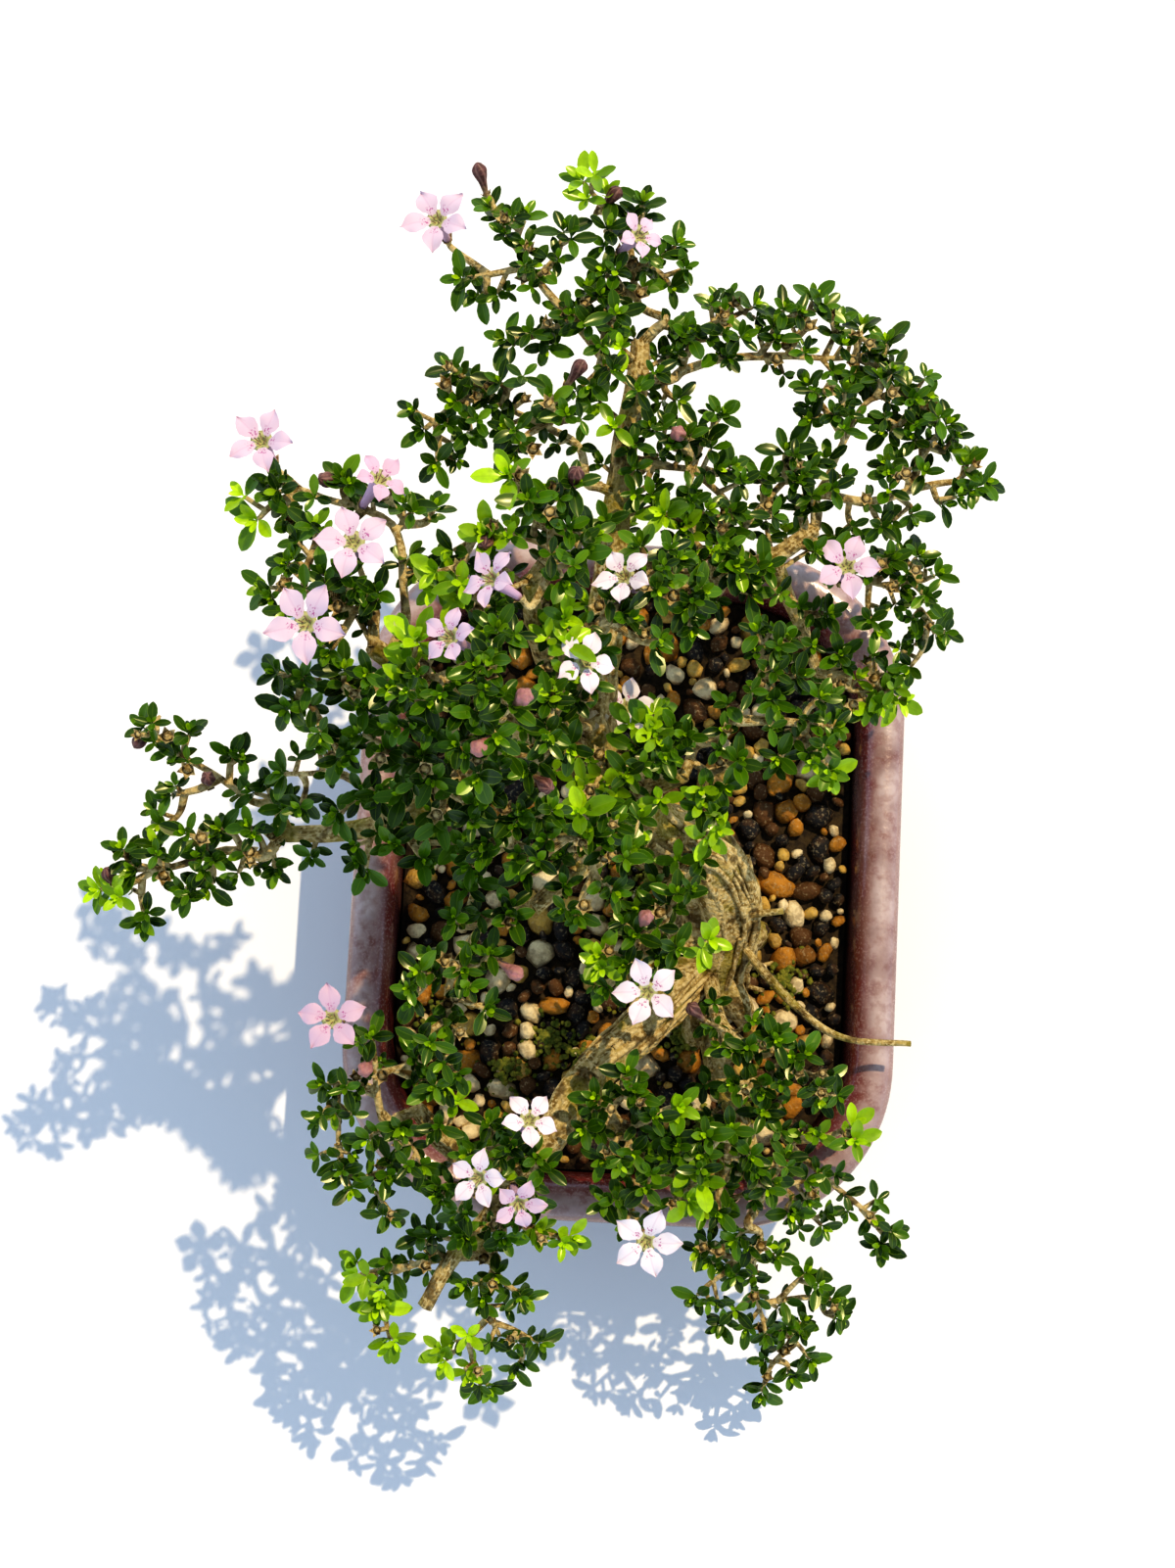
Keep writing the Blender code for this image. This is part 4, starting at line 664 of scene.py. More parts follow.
def bark_look(name, mossy, base):
    """Furrowed tan bark: pale strands along the wood, scales, and moss where it is damp."""
    look = Look(name, base, 0.85)
    _, across = look.uv()
    look.blend(look.mottle(420.0, 0.50, 0.10), (0.22, 0.140, 0.035))
    wander = look.math("ADD", look.times(across, STRANDS * math.tau),
                       look.times(look.mottle(150.0, 0.50, 0.20), 5.0))
    look.blend(look.ramp(look.math("SINE", wander), 0.2, 0.9, 0.0, 0.7), (0.60, 0.46, 0.20))
    look.spots(1500.0, 0.54, 0.07, 0.85, (0.66, 0.54, 0.28))
    look.spots(260.0, 0.60, 0.05, 0.75, (0.070, 0.040, 0.01))
    if mossy:
        look.spots(110.0, 0.55, 0.07, 0.60, (0.24, 0.21, 0.012))
    look.set("Specular IOR Level", 0.2)
    look.bump(1300.0, 0.7, 0.0005)
    return look.done()


def petal_look():
    """Pale pink petal with a faint lilac midline, magenta specks and a yellow-green throat."""
    look = Look("pale petal", (0.60, 0.43, 0.525), 0.6)
    along, across = look.uv()
    look.blend(look.tint(), (0.76, 0.70, 0.715))
    off = look.off_middle(across)
    look.blend(look.ramp(off, 0.01, 0.06, 0.22, 0.0), (0.52, 0.30, 0.44))
    look.blend(look.ramp(along, 0.75, 1.0, 0.0, 0.25), (0.60, 0.36, 0.48))
    look.blend(look.ramp(off, 0.44, 0.5, 0.0, 0.25), (0.58, 0.40, 0.50))
    specks = look.times(look.mottle(3200.0, 0.56, 0.03), look.ramp(along, 0.10, 0.16))
    specks = look.times(specks, look.ramp(along, 0.40, 0.28))
    specks = look.times(specks, look.ramp(off, 0.30, 0.22))
    look.blend(look.times(specks, 0.8), (0.38, 0.04, 0.22))
    look.blend(look.ramp(along, 0.09, 0.03, 0.0, 0.8), (0.42, 0.46, 0.13))
    look.set("Specular IOR Level", 0.2)
    return look.done()


def bud_look():
    """Closed bud: dark brown or dusty pink by its tint, with paler ribs and a tan foot."""
    look = Look("bud", (0.075, 0.026, 0.020), 0.5)
    along, across = look.uv()
    look.blend(look.times(look.tint(), 0.95), (0.46, 0.215, 0.205))
    wave = look.math("SINE", look.times(across, BUD_RIBS * math.tau))
    look.blend(look.ramp(wave, 0.0, 0.9, 0.0, 0.45), (0.40, 0.235, 0.17))
    look.spots(1400.0, 0.5, 0.15, 0.45, (0.26, 0.11, 0.095))
    look.blend(look.ramp(along, 0.45, 0.10, 0.0, 0.6), (0.40, 0.30, 0.15))
    look.bump(1500.0, 0.5, 0.0003)
    return look.done()


def grit_look():
    """Loose gravel: each stone from near black over brown and orange tan to cream."""
    look = Look("grit", (0.013, 0.011, 0.010), 0.75)
    tint = look.tint()
    for low, colour in GRIT_COLOURS:
        look.blend(look.ramp(tint, low, low + 0.01), colour)
    look.spots(500.0, 0.55, 0.10, 0.45, (0.12, 0.055, 0.012))
    look.spots(1600.0, 0.60, 0.05, 0.35, (0.52, 0.42, 0.24))
    look.bump(1500.0, 0.5, 0.0004)
    return look.done()


def plain_look(name, colour, roughness, spots):
    """A dull finish with soft spots of a second colour."""
    look = Look(name, colour, roughness)
    look.blend(look.mottle(700.0, 0.5, 0.15), spots)
    look.bump(1200.0, 0.5, 0.0005)
    return look.done()


# Pot
def corner_ring(inset, z, steps):
    """A ring round the pot at an inset from its outside, with rounded corners."""
    half_x, half_y = POT_HALF_X - inset, POT_HALF_Y - inset
    radius = POT_CORNER - inset * CORNER_LOSS
    ring = []
    for quarter in range(4):
        mid_x = (half_x - radius) * (1 if quarter in (0, 3) else -1)
        mid_y = (half_y - radius) * (1 if quarter < 2 else -1)
        for step in range(steps + 1):
            angle = math.radians(90 * quarter + 90 * step / steps)
            ring.append(SHIFT + Vector((mid_x + radius * math.cos(angle),
                                        mid_y + radius * math.sin(angle), z)))
    return ring


def drain_ring(side, z):
    """The edge of a drain hole at a height."""
    mid = SHIFT + Vector((0, side * DRAIN_SPACING / 2, z))
    return [mid + Vector((math.cos(a), math.sin(a), 0)) * DRAIN_RADIUS for a in turns(DRAIN_SIDES)]


def add_pot_floor(patch, inset, z, lift):
    """One face of the floor: a square round each drain hole, and the rest out to the wall."""
    for side in (1, -1):
        hole = drain_ring(side, z + lift)
        mid = SHIFT + Vector((0, side * DRAIN_SPACING / 2, z + lift))
        square = []
        for p in hole:
            way = (p - mid) / DRAIN_RADIUS
            square.append(mid + way * (DRAIN_SQUARE / max(abs(way.x), abs(way.y))))
        patch.add(hole + square, grid_faces(2, DRAIN_SIDES, True))
    outer = corner_ring(inset * MM, z, CORNER_STEPS)
    inner = []
    for p in outer:
        q = p - SHIFT
        scale = min(1.0, DRAIN_SQUARE / abs(q.x), (DRAIN_SQUARE + DRAIN_SPACING / 2) / abs(q.y))
        inner.append(SHIFT + Vector((q.x * scale, q.y * scale, z)))
    patch.add(outer + inner, grid_faces(2, len(outer), True))


def add_foot(patch, x, y):
    points = [SHIFT + Vector((x + dx * size, y + dy * size, z))
              for size, z in FOOT_LEVELS for dx, dy in FOOT_OUTLINE]
    sides = len(FOOT_OUTLINE)
    patch.add(points, grid_faces(len(FOOT_LEVELS), sides, True) + [tuple(range(sides))])


def build_pot():
    patch = Patch()
    rings = [corner_ring(inset * MM, z * MM, CORNER_STEPS) for inset, z in POT_PROFILE]
    rows, count = len(rings), len(rings[0])
    uvs = [(k / count, r / (rows - 1)) for r in range(rows) for k in range(count)]
    patch.add([p for ring in rings for p in ring], grid_faces(rows, count, True), uvs)
    add_pot_floor(patch, POT_PROFILE[0][0], FLOOR_UNDER, -FLOOR_LIFT)
    add_pot_floor(patch, POT_PROFILE[-1][0], FLOOR_TOP, FLOOR_LIFT)
    for side in (1, -1):
        wall = drain_ring(side, FLOOR_UNDER) + drain_ring(side, FLOOR_TOP)
        patch.add(wall, grid_faces(2, DRAIN_SIDES, True))
    for side in (-1, 1):
        for end in (-1, 1):
            add_foot(patch, side * FOOT_X, end * FOOT_Y)
    patch.make("pot_glazed", glaze_look(), "glaze", ("pot",))


# Soil, grit and moss
def soil_height(x, y):
    away = math.hypot(x - MOUND_MIDDLE[0], y - MOUND_MIDDLE[1]) / MOUND_SPREAD
    return SOIL_TOP + MOUND_RISE * math.exp(-away ** 2)


def inside_soil(x, y, margin):
    """True where a point lies on the soil, at least a margin from the pot's wall."""
    half_x, half_y = POT_HALF_X - SOIL_INSET, POT_HALF_Y - SOIL_INSET
    radius = POT_CORNER - SOIL_CORNER_LOSS
    dx = max(abs(x) - (half_x - radius), 0.0)
    dy = max(abs(y) - (half_y - radius), 0.0)
    return max(abs(x) - half_x, abs(y) - half_y, math.hypot(dx, dy) - radius) < -margin


def build_soil():
    patch = Patch()
    rings = [corner_ring(inset * MM, z * MM, SOIL_STEPS) for inset, z in SOIL_PROFILE]
    outside = rings[-1]
    count = len(outside)
    for share in SOIL_SHARES:
        ring = []
        for p in outside:
            q = (p - SHIFT) * share
            q.z = soil_height(q.x, q.y) - SOIL_LUMP + SOIL_LUMP * noise.noise(q * SOIL_LUMPS)
            ring.append(SHIFT + q)
        rings.append(ring)
    points = [p for ring in rings for p in ring]
    faces = grid_faces(len(rings), count, True) + [tuple(range(count)), last_ring(points, count)]
    patch.add(points, faces)
    look = plain_look("dark soil", (0.030, 0.021, 0.013), 0.95, (0.075, 0.052, 0.024))
    patch.make("soil_bed", look, "gravel", ("soil",))


def ball_shape(subdivisions):
    work = bmesh.new()
    bmesh.ops.create_icosphere(work, subdivisions=subdivisions, radius=1.0)
    points = [v.co.copy() for v in work.verts]
    faces = [tuple(v.index for v in f.verts) for f in work.faces]
    work.free()
    return points, faces


BALL = ball_shape(2)
SMALL_BALL = ball_shape(1)


class Spread:
    """Stones laid so far, in a grid of cells, so that new ones find their neighbours."""

    def __init__(self):
        self.cells = {}

    def near(self, cell):
        for i in (-1, 0, 1):
            for j in (-1, 0, 1):
                yield from self.cells.get((cell[0] + i, cell[1] + j), ())

    def lay(self, x, y, z, size):
        cell = (int(x // STONE_CELL), int(y // STONE_CELL))
        for x2, y2, z2, size2 in self.near(cell):
            gap = math.sqrt((x - x2) ** 2 + (y - y2) ** 2 + (z - z2) ** 2)
            if gap < STONE_PACKING * (size + size2):
                return False
        self.cells.setdefault(cell, []).append((x, y, z, size))
        return True


def stone_points(middle, size, number, chance):
    """A ball, stretched, turned and made lumpy."""
    turn = Euler([chance.uniform(0, math.tau) for _ in range(3)]).to_matrix()
    stretch = [chance.uniform(*span) for span in STONE_STRETCH]
    seed = Vector((number * 3.1, number * 1.7, 0))
    points = []
    for p in BALL[0]:
        lump = size * (1.0 + 0.30 * noise.noise(p * 1.3 + seed) + 0.12 * noise.noise(p * 3 + seed))
        q = Vector([p[i] * stretch[i] * lump for i in range(3)])
        points.append(middle + turn @ q)
    return points


def build_grit():
    chance = random.Random(SEED)
    patch = Patch()
    spread = Spread()
    laid = 0
    for size, tries, rise in STONE_LAYERS:
        for _ in range(fewer(tries)):
            x = chance.uniform(-POT_HALF_X, POT_HALF_X)
            y = chance.uniform(-POT_HALF_Y, POT_HALF_Y)
            radius = size * chance.uniform(*STONE_SIZES)
            z = soil_height(x, y) + rise - radius * STONE_SINK
            if not inside_soil(x, y, radius * 1.1) or not spread.lay(x, y, z, radius):
                continue
            points = stone_points(SHIFT + Vector((x, y, z)), radius, laid, chance)
            patch.add(points, BALL[1], tint=chance.random())
            laid += 1
    patch.make("grit", grit_look(), "gravel")


def build_moss():
    chance = random.Random(SEED + 1)
    patch = Patch()
    for clump in MOSS_CLUMPS:
        middle = spot(clump)
        for _ in range(fewer(MOSS_DOTS)):
            reach = abs(chance.gauss(0, MOSS_REACH))
            angle = chance.uniform(0, math.tau)
            size = chance.uniform(*MOSS_SIZES)
            at = middle + Vector((math.cos(angle) * reach, math.sin(angle) * reach, 0))
            local = at - SHIFT
            if not inside_soil(local.x, local.y, 0.002):
                continue
            at.z = soil_height(local.x, local.y) + MOSS_LIFT - reach * 0.25
            points = [at + p * (size * (1 + 0.3 * noise.noise(p * 3 + at * 900)))
                      for p in SMALL_BALL[0]]
            patch.add(points, SMALL_BALL[1])
    look = plain_look("moss", (0.085, 0.115, 0.010), 0.95, (0.24, 0.23, 0.03))
    patch.make("moss", look, "gravel")


# Wood
def smooth_route(points, steps):
    """A curve through the points, with steps between each two of them."""
    if len(points) < 3:
        return [points[0].lerp(points[-1], k / steps) for k in range(steps + 1)]
    padded = [points[0] * 2 - points[1]] + points + [points[-1] * 2 - points[-2]]
    route = [points[0]]
    for i in range(1, len(padded) - 2):
        a, b, c, d = padded[i - 1:i + 3]
        for k in range(1, steps + 1):
            t = k / steps
            route.append(0.5 * ((2 * b) + (c - a) * t + (2 * a - 5 * b + 4 * c - d) * t * t
                                + (3 * b - a - 3 * c + d) * t ** 3))
    return route


def photo_route(points, steps):
    return smooth_route([spot(p) for p in points], steps)


def ways_along(route):
    """Two ways square to a route at each of its points, which turn with it smoothly."""
    ahead = [(route[min(i + 1, len(route) - 1)] - route[max(i - 1, 0)]).normalized()
             for i in range(len(route))]
    side = ahead[0].orthogonal().normalized()
    ways = []
    for direction in ahead:
        side = (side - direction * side.dot(direction)).normalized()
        ways.append((side, direction.cross(side)))
    return ways


def grain(angle, walked, seed, round_it, along_it):
    """Noise round and along a stem, so that ridges run with the wood."""
    x, y = math.cos(angle) * round_it, math.sin(angle) * round_it
    return noise.noise(Vector((x, y, walked * along_it + seed)))


def rough_tube(patch, route, start, end, sides, rough, seed=0.0, flutes=0.0):
    """A tube with ridges and flutes along it and knots from noise, closed at both ends."""
    points, uvs = [], []
    last = len(route) - 1
    walked = 0.0
    for i, (p, ways) in enumerate(zip(route, ways_along(route))):
        radius = start + (end - start) * i / last
        walked += (p - route[i - 1]).length if i else 0.0
        for k, a in enumerate(turns(sides)):
            out = around(ways, a)
            relief = sum(share * grain(a, walked, seed, round_it, along_it)
                         for round_it, along_it, share in RIDGES)
            relief += KNOTS[1] * noise.noise(p * KNOTS[0] + out * 0.8)
            flute = sum(share * math.sin(number * a + wind * walked + seed)
                        for number, wind, share in FLUTES)
            swell = 1 + rough * relief + flutes * flute
            points.append(p + out * (radius * swell))
            uvs.append((i / last, k / sides))
    faces = grid_faces(len(route), sides, True) + [tuple(range(sides)), last_ring(points, sides)]
    patch.add(points, faces, uvs)


def add_spur(patch, root, tip, sides, rough, end=SPUR_RADII[1]):
    rough_tube(patch, [root, root.lerp(tip, 0.5), tip], SPUR_RADII[0], end, sides, rough)


def even_radii(route, start, end):
    last = len(route) - 1
    return [start + (end - start) * i / last for i in range(last + 1)]


def nearest_on(lines, target):
    """The nearest point on the lines, with the wood's radius and direction there."""
    best = None
    for route, radii in lines:
        for i in range(len(route) - 1):
            span = route[i + 1] - route[i]
            share = max(0.0, min(1.0, (target - route[i]).dot(span) / span.length_squared))
            point = route[i] + span * share
            gap = (target - point).length
            if best is None or gap < best[0]:
                radius = radii[i] + (radii[i + 1] - radii[i]) * share
                best = (gap, point, radius, span.normalized())
    return best[1:]


def build_trunk(stubs):
    patch = Patch()
    for name, (points, start, end) in LIMBS.items():
        stout = start > STOUT_MM
        sides = 48 if start > THICK_MM else 26 if stout else 14
        rough_tube(patch, photo_route(points, 22 if stout else 12), start * MM, end * MM, sides,
                   0.20, len(name) * 1.3, flutes=0.07 if stout else 0.04)
    for k, points in enumerate(ROOTS):
        rough_tube(patch, photo_route(points, 10), *ROOT_RADII, 14, 0.26, k * 2.1)
    for k, points in enumerate(BARE):
        rough_tube(patch, photo_route(points, 8), *BARE_RADII, 8, 0.30, k * 3.3)
    for start, end in stubs:
        rough_tube(patch, smooth_route([start, end], 4), *STUB_RADII, 8, 0.2)
    patch.make("trunk_bark", bark_look("bark", True, (0.48, 0.36, 0.14)), "bark", ("trunk",))


def build_pruned_face():
    """The pale cut at the top of the bole, with a dark disc on it that is painted shade for a
    hollow.
    """
    below, top = [spot(p) for p in LIMBS["bole"][0][-2:]]
    ahead = (top - below).normalized()
    cut = Patch()
    rough_tube(cut, [top + ahead * z for z in (-0.002, 0.0006, 0.0009, 0.0002)],
               0.0050, 0.0026, 24, 0.10)
    look = plain_look("pale cut wood", (0.55, 0.42, 0.24), 0.8, (0.70, 0.60, 0.42))
    cut.make("trunk_cut", look, "bark")
    # A near-black disc standing on the cut: painted shade for the hollow's depth.
    hollow = Patch()
    rough_tube(hollow, [top + ahead * z for z in (-0.001, 0.0011)], 0.0017, 0.0016, 16, 0.25)
    look = plain_look("hollow painted shade", (0.02, 0.013, 0.008), 0.95, (0.04, 0.025, 0.015))
    hollow.make("trunk_hollow_shade", look, "bark")


def build_rootlets(look):
    """Wiry strands that run down the bole and the lower limbs and out over the gravel."""
    chance = random.Random(SEED + 3)
    patch = Patch()
    for name, count, last_share in ROOTLETS:
        points, start, end = LIMBS[name]
        limb = photo_route(points, 8)
        ways = ways_along(limb)
        for _ in range(count):
            angle = chance.uniform(0, math.tau)
            turn = chance.uniform(-1.6, 1.6)
            top = max(4, int(len(limb) * chance.uniform(0.2, last_share)))
            route = []
            for i in range(top, -1, -1):
                share = i / (len(limb) - 1)
                radius = (start + (end - start) * share) * MM * chance.uniform(1.0, 1.10)
                p = limb[i] + around(ways[i], angle + turn * share) * radius
                if p.z < SOIL_TOP + 0.002:
                    break
                route.append(p)
            if len(route) < 3:
                continue
            out = route[-1] - limb[0]
            out.z = 0
            away = route[-1] + out.normalized() * chance.uniform(*ROOTLET_RUN)
            local = away - SHIFT
            if inside_soil(local.x, local.y, 0.003):
                away.z = soil_height(local.x, local.y) + 0.0004
                route.append(away)
            size = chance.uniform(*ROOTLET_RADII)
            rough_tube(patch, smooth_route(route, 2), size, size * 0.6, 6, 0.3, angle)
    patch.make("rootlets", look, "bark")


# Leaves, with the edge as (share of the length, share of the width)
LEAF_EDGE = ((0.0, 0.10), (0.10, 0.22), (0.28, 0.70), (0.50, 1.0), (0.70, 0.96), (0.86, 0.70),
             (0.95, 0.36), (1.0, 0.04))
LEAF_COLUMNS = 5
LEAF_GRID = [(t, c / (LEAF_COLUMNS - 1) * 2 - 1, share)
             for t, share in LEAF_EDGE for c in range(LEAF_COLUMNS)]
LEAF_FACES = grid_faces(len(LEAF_EDGE), LEAF_COLUMNS)
LEAF_UVS = [(t, (v + 1) / 2) for t, v, _ in LEAF_GRID]
LEAF_FOLD = (0.12, 0.45)
LEAF_CURL = (-0.10, 0.28)
LEAF_TWIST = (-0.15, 0.15)
LEAF_SLIMNESS = (0.40, 0.50)


def add_leaf(patch, root, ahead, up, length, width, tint, chance):
    """One leaf, folded along its midrib and curled down or up toward its tip."""
    side = ahead.cross(up)
    if side.length < 0.05:
        side = ahead.orthogonal()
    side.normalize()
    up = side.cross(ahead).normalized()
    fold = chance.uniform(*LEAF_FOLD)
    curl = chance.uniform(*LEAF_CURL)
    twist = chance.uniform(*LEAF_TWIST)
    points = []
    for t, v, share in LEAF_GRID:
        across = v * share * width / 2
        rise = abs(across) * fold - curl * length * t * t + across * twist * t
        points.append(root + ahead * (length * t) + side * across + up * rise)
    patch.add(points, LEAF_FACES, LEAF_UVS, tint)


def add_rosette(patch, at, axis, chance, size, young, pairs):
    """Pairs of leaves set crosswise, smaller, steeper and paler towards the middle."""
    axis = (axis * 0.6 + UPWARD * 0.62).normalized()
    ways = side_ways(axis)
    turn = chance.uniform(0, math.tau)
    lift = UPWARD * 0.12
    up = (UPWARD * 0.8 + axis * 0.5).normalized()
    for pair in range(pairs):
        steep, share, tint_low, tint_high = ROSETTE_PAIRS[pair]
        steep = math.radians(steep + chance.uniform(-11, 11))
        root = at + axis * (PAIR_STEP * pair)
        for k in range(2):
            length = LEAF_LENGTH * size * share * chance.uniform(*LEAF_LENGTHS)
            if young:
                length *= YOUNG_GROWTH
            angle = turn + pair * math.pi / 2 + k * math.pi + chance.uniform(-0.25, 0.25)
            out = around(ways, angle)
            ahead = (axis * math.cos(steep) + out * math.sin(steep) + lift).normalized()
            tint = chance.uniform(tint_low, tint_high) + young * chance.uniform(0.7, 1.0)
            if chance.random() < PALE_LEAF_SHARE:
                tint += PALE_LEAF_TINT
            width = length * chance.uniform(*LEAF_SLIMNESS)
            add_leaf(patch, root, ahead, up, length, width, min(1.0, tint), chance)


# Blooms, calyces and buds. A profile is (place along the axis, radius), and a petal's
# measures are shares of the bloom's width, but for its root in metres.
CALYX_SIDES = 10
CALYX_CUP = ((-1.1, 0.25), (-0.3, 0.60), (0.35, 0.72))
CALYX_TOOTH = (1.05, 1.22)
CALYX_DIP = (0.40, 0.78)
PETAL_ROWS = 11
PETAL_COLUMNS = 9
PETAL_WIDTHS = ((0.0, 0.30), (0.15, 0.44), (0.35, 0.86), (0.5, 1.0), (0.64, 0.90),
                (0.80, 0.56), (0.92, 0.22), (1.0, 0.02))
PETAL_ROOT = 0.0008
PETAL_LENGTH = 0.54
PETAL_BREADTH = 0.172
PETAL_RIPPLE = 0.040
PETAL_GROOVE = 0.030
PETAL_ARCH = 0.11
PETAL_BEND = (-0.04, 0.18)
PETAL_LEAN = (-0.06, 0.06)
TUBE_SIDES = 12
TUBE_OUTSIDE = ((0.0, 0.0006), (0.25, 0.0007), (0.55, 0.0009), (0.8, 0.0012), (0.93, 0.0014))
TUBE_THROAT = ((1.0, 0.0018), (0.96, 0.0010), (0.85, 0.0006))
ANTHER_LENGTH = 0.00030
ANTHER_WIDTH = 0.00013
BUD_SIDES = 30
BUD_PROFILE = ((0.0, 0.35), (0.2, 0.42), (0.45, 0.60), (0.62, 0.86), (0.75, 1.0), (0.84, 0.94),
               (0.91, 0.72), (0.96, 0.42), (1.0, 0.08))


def add_calyx(patch, at, axis, size):
    """A small dry star: a cup with five pointed teeth that flare from its rim."""
    ways = side_ways(axis)
    points = [at + axis * (size * rise) + around(ways, a) * (size * reach)
              for rise, reach in CALYX_CUP for a in turns(CALYX_SIDES)]
    for k, a in enumerate(turns(CALYX_SIDES)):
        rise, reach = CALYX_DIP if k % 2 else CALYX_TOOTH
        points.append(at + axis * (size * rise) + around(ways, a) * (size * reach))
    middle = len(points)
    inner = middle - 2 * CALYX_SIDES
    points.append(at + axis * (size * 0.25))
    faces = grid_faces(len(CALYX_CUP) + 1, CALYX_SIDES, True)
    faces += [(inner + k, inner + (k + 1) % CALYX_SIDES, middle) for k in range(CALYX_SIDES)]
    patch.add(points, faces)


def petal_width(t):
    for (a, wa), (b, wb) in zip(PETAL_WIDTHS, PETAL_WIDTHS[1:]):
        if t <= b:
            s = (t - a) / (b - a)
            return wa + (wb - wa) * s * s * (3 - 2 * s)
    return 0.0


def add_petal(patch, foot, axis, out, width, tube_length, pale, chance):
    """One lobe: grooved along its middle, wavy at its margin and bent back at its tip."""
    sideways = axis.cross(out)
    phase = chance.uniform(0, math.tau)
    bend = chance.uniform(*PETAL_BEND)
    lean = chance.uniform(*PETAL_LEAN)
    points, uvs = [], []
    for r in range(PETAL_ROWS):
        t = r / (PETAL_ROWS - 1)
        for c in range(PETAL_COLUMNS):
            v = c / (PETAL_COLUMNS - 1) * 2 - 1
            reach = PETAL_ROOT + t * (width * PETAL_LENGTH - PETAL_ROOT)
            across = width * (v * petal_width(t) * PETAL_BREADTH + lean * t * t)
            ripple = PETAL_RIPPLE * abs(v) ** 1.5 * math.sin(9 * t + phase + v * 1.4) * t
            groove = PETAL_GROOVE * (1 - (1 - abs(v)) ** 2) * t
            rise = PETAL_ARCH * math.sin(min(1.0, t * 1.3) * 1.7) - bend * t * t
            height = tube_length - 0.0004 + width * (rise + ripple + groove)
            points.append(foot + axis * height + out * reach + sideways * across)
            uvs.append((t, (v + 1) / 2))
    patch.add(points, grid_faces(PETAL_ROWS, PETAL_COLUMNS), uvs, pale)


def add_bloom(petals, foot, axis, spin, width, tube_length, chance, pale):
    ways = side_ways(axis)
    for lobe in range(5):
        out = around(ways, math.radians(72 * lobe) + spin)
        add_petal(petals, foot, axis, out, width, tube_length, pale, chance)
    profile = TUBE_OUTSIDE + TUBE_THROAT
    points = [foot + axis * (tube_length * z) + around(ways, a) * radius
              for z, radius in profile for a in turns(TUBE_SIDES)]
    uvs = [(0.9, 0.5)] * (TUBE_SIDES * len(TUBE_OUTSIDE))
    uvs += [(0.03, 0.5)] * (TUBE_SIDES * len(TUBE_THROAT))
    faces = grid_faces(len(profile), TUBE_SIDES, True) + [last_ring(points, TUBE_SIDES)]
    petals.add(points, faces, uvs)


def add_stamens(patch, foot, axis, spin, tube_length):
    """Five thin filaments that lean out of the throat, each with a small anther."""
    ways = side_ways(axis)
    for k in range(5):
        out = around(ways, spin + math.tau * (k + 0.5) / 5)
        root = foot + axis * (tube_length - 0.0006) + out * 0.0005
        tip = root + axis * 0.0012 + out * 0.0004
        rough_tube(patch, [root, root.lerp(tip, 0.5), tip], 0.00009, 0.00007, 5, 0.0)
        sideways = axis.cross(out)
        points = [tip + axis * (p.z * ANTHER_LENGTH) + out * (p.x * ANTHER_WIDTH)
                  + sideways * (p.y * ANTHER_WIDTH) for p in SMALL_BALL[0]]
        patch.add(points, SMALL_BALL[1], tint=1.0)


def add_bud(patch, start, end, radius, tint):
    """A furled bud: a club with ribs that wind round it to a short point."""
    axis = (end - start).normalized()
    ways = side_ways(axis)
    length = (end - start).length
    points, uvs = [], []
    for t, share in BUD_PROFILE:
        for k, a in enumerate(turns(BUD_SIDES)):
            rib = 1 + 0.13 * t * math.cos(5 * (a + t * 1.1))
            points.append(start + axis * (length * t) + around(ways, a) * (radius * share * rib))
            uvs.append((t, k / BUD_SIDES + t * 0.175))
    faces = grid_faces(len(BUD_PROFILE), BUD_SIDES, True) + [last_ring(points, BUD_SIDES)]
    patch.add(points, faces, uvs, tint)


# Leafy stems
CLUMP_RADIUS = 0.0009
MAIN_RADIUS = 0.0010
SIDE_RADIUS = 0.0007
BUD_STALK = 0.0006
TWIG_TIP = 0.00042
TWIG_ROUGH = 0.42
BRANCH_BACK = 0.45
BRANCH_BACK_MOST = 0.008
BLOOM_CALYX = 0.0011
BUD_CALYX = 0.0009
DRY_CALYX = (0.0009, 0.0014)
DRY_SPUR = (0.0026, 0.0050)
SHOOT_LENGTH = (0.0015, 0.0042)
SHOOT_SHARE = 0.75
YOUNG_TINT = 0.55


def wood_lines():
    """Every limb as a plain line with its radii, for stems to start from."""
    lines = []
    for points, start, end in LIMBS.values():
        route = photo_route(points, 2 if start > STOUT_MM else 1)
        lines.append((route, even_radii(route, start * MM, end * MM)))
    return lines


def tips_middle(plan):
    """The middle of a stem's tips."""
    ends = [spot(arm[-1]) for arm in plan["arms"]]
    return sum(ends, Vector()) / len(ends)


def is_clump(plan):
    """True for a stem whose arms all spread from one middle."""
    return len(plan["arms"][0]) == 1


def stem_foot(plan, lines):
    """Where a stem leaves the middle of its limb and the bark, and its first direction."""
    start, radius, along = nearest_on(lines, spot(plan["at"]))
    first = tips_middle(plan) if is_clump(plan) else spot(plan["arms"][0][0])
    way = (first - start).normalized()
    across = way - along * way.dot(along)
    if across.length < 0.35:
        across = along.orthogonal()
    way = (way * 0.5 + across.normalized() * 0.9).normalized()
    reach = radius / (way - along * way.dot(along)).length + 0.0016
    return start, start + way * reach, way


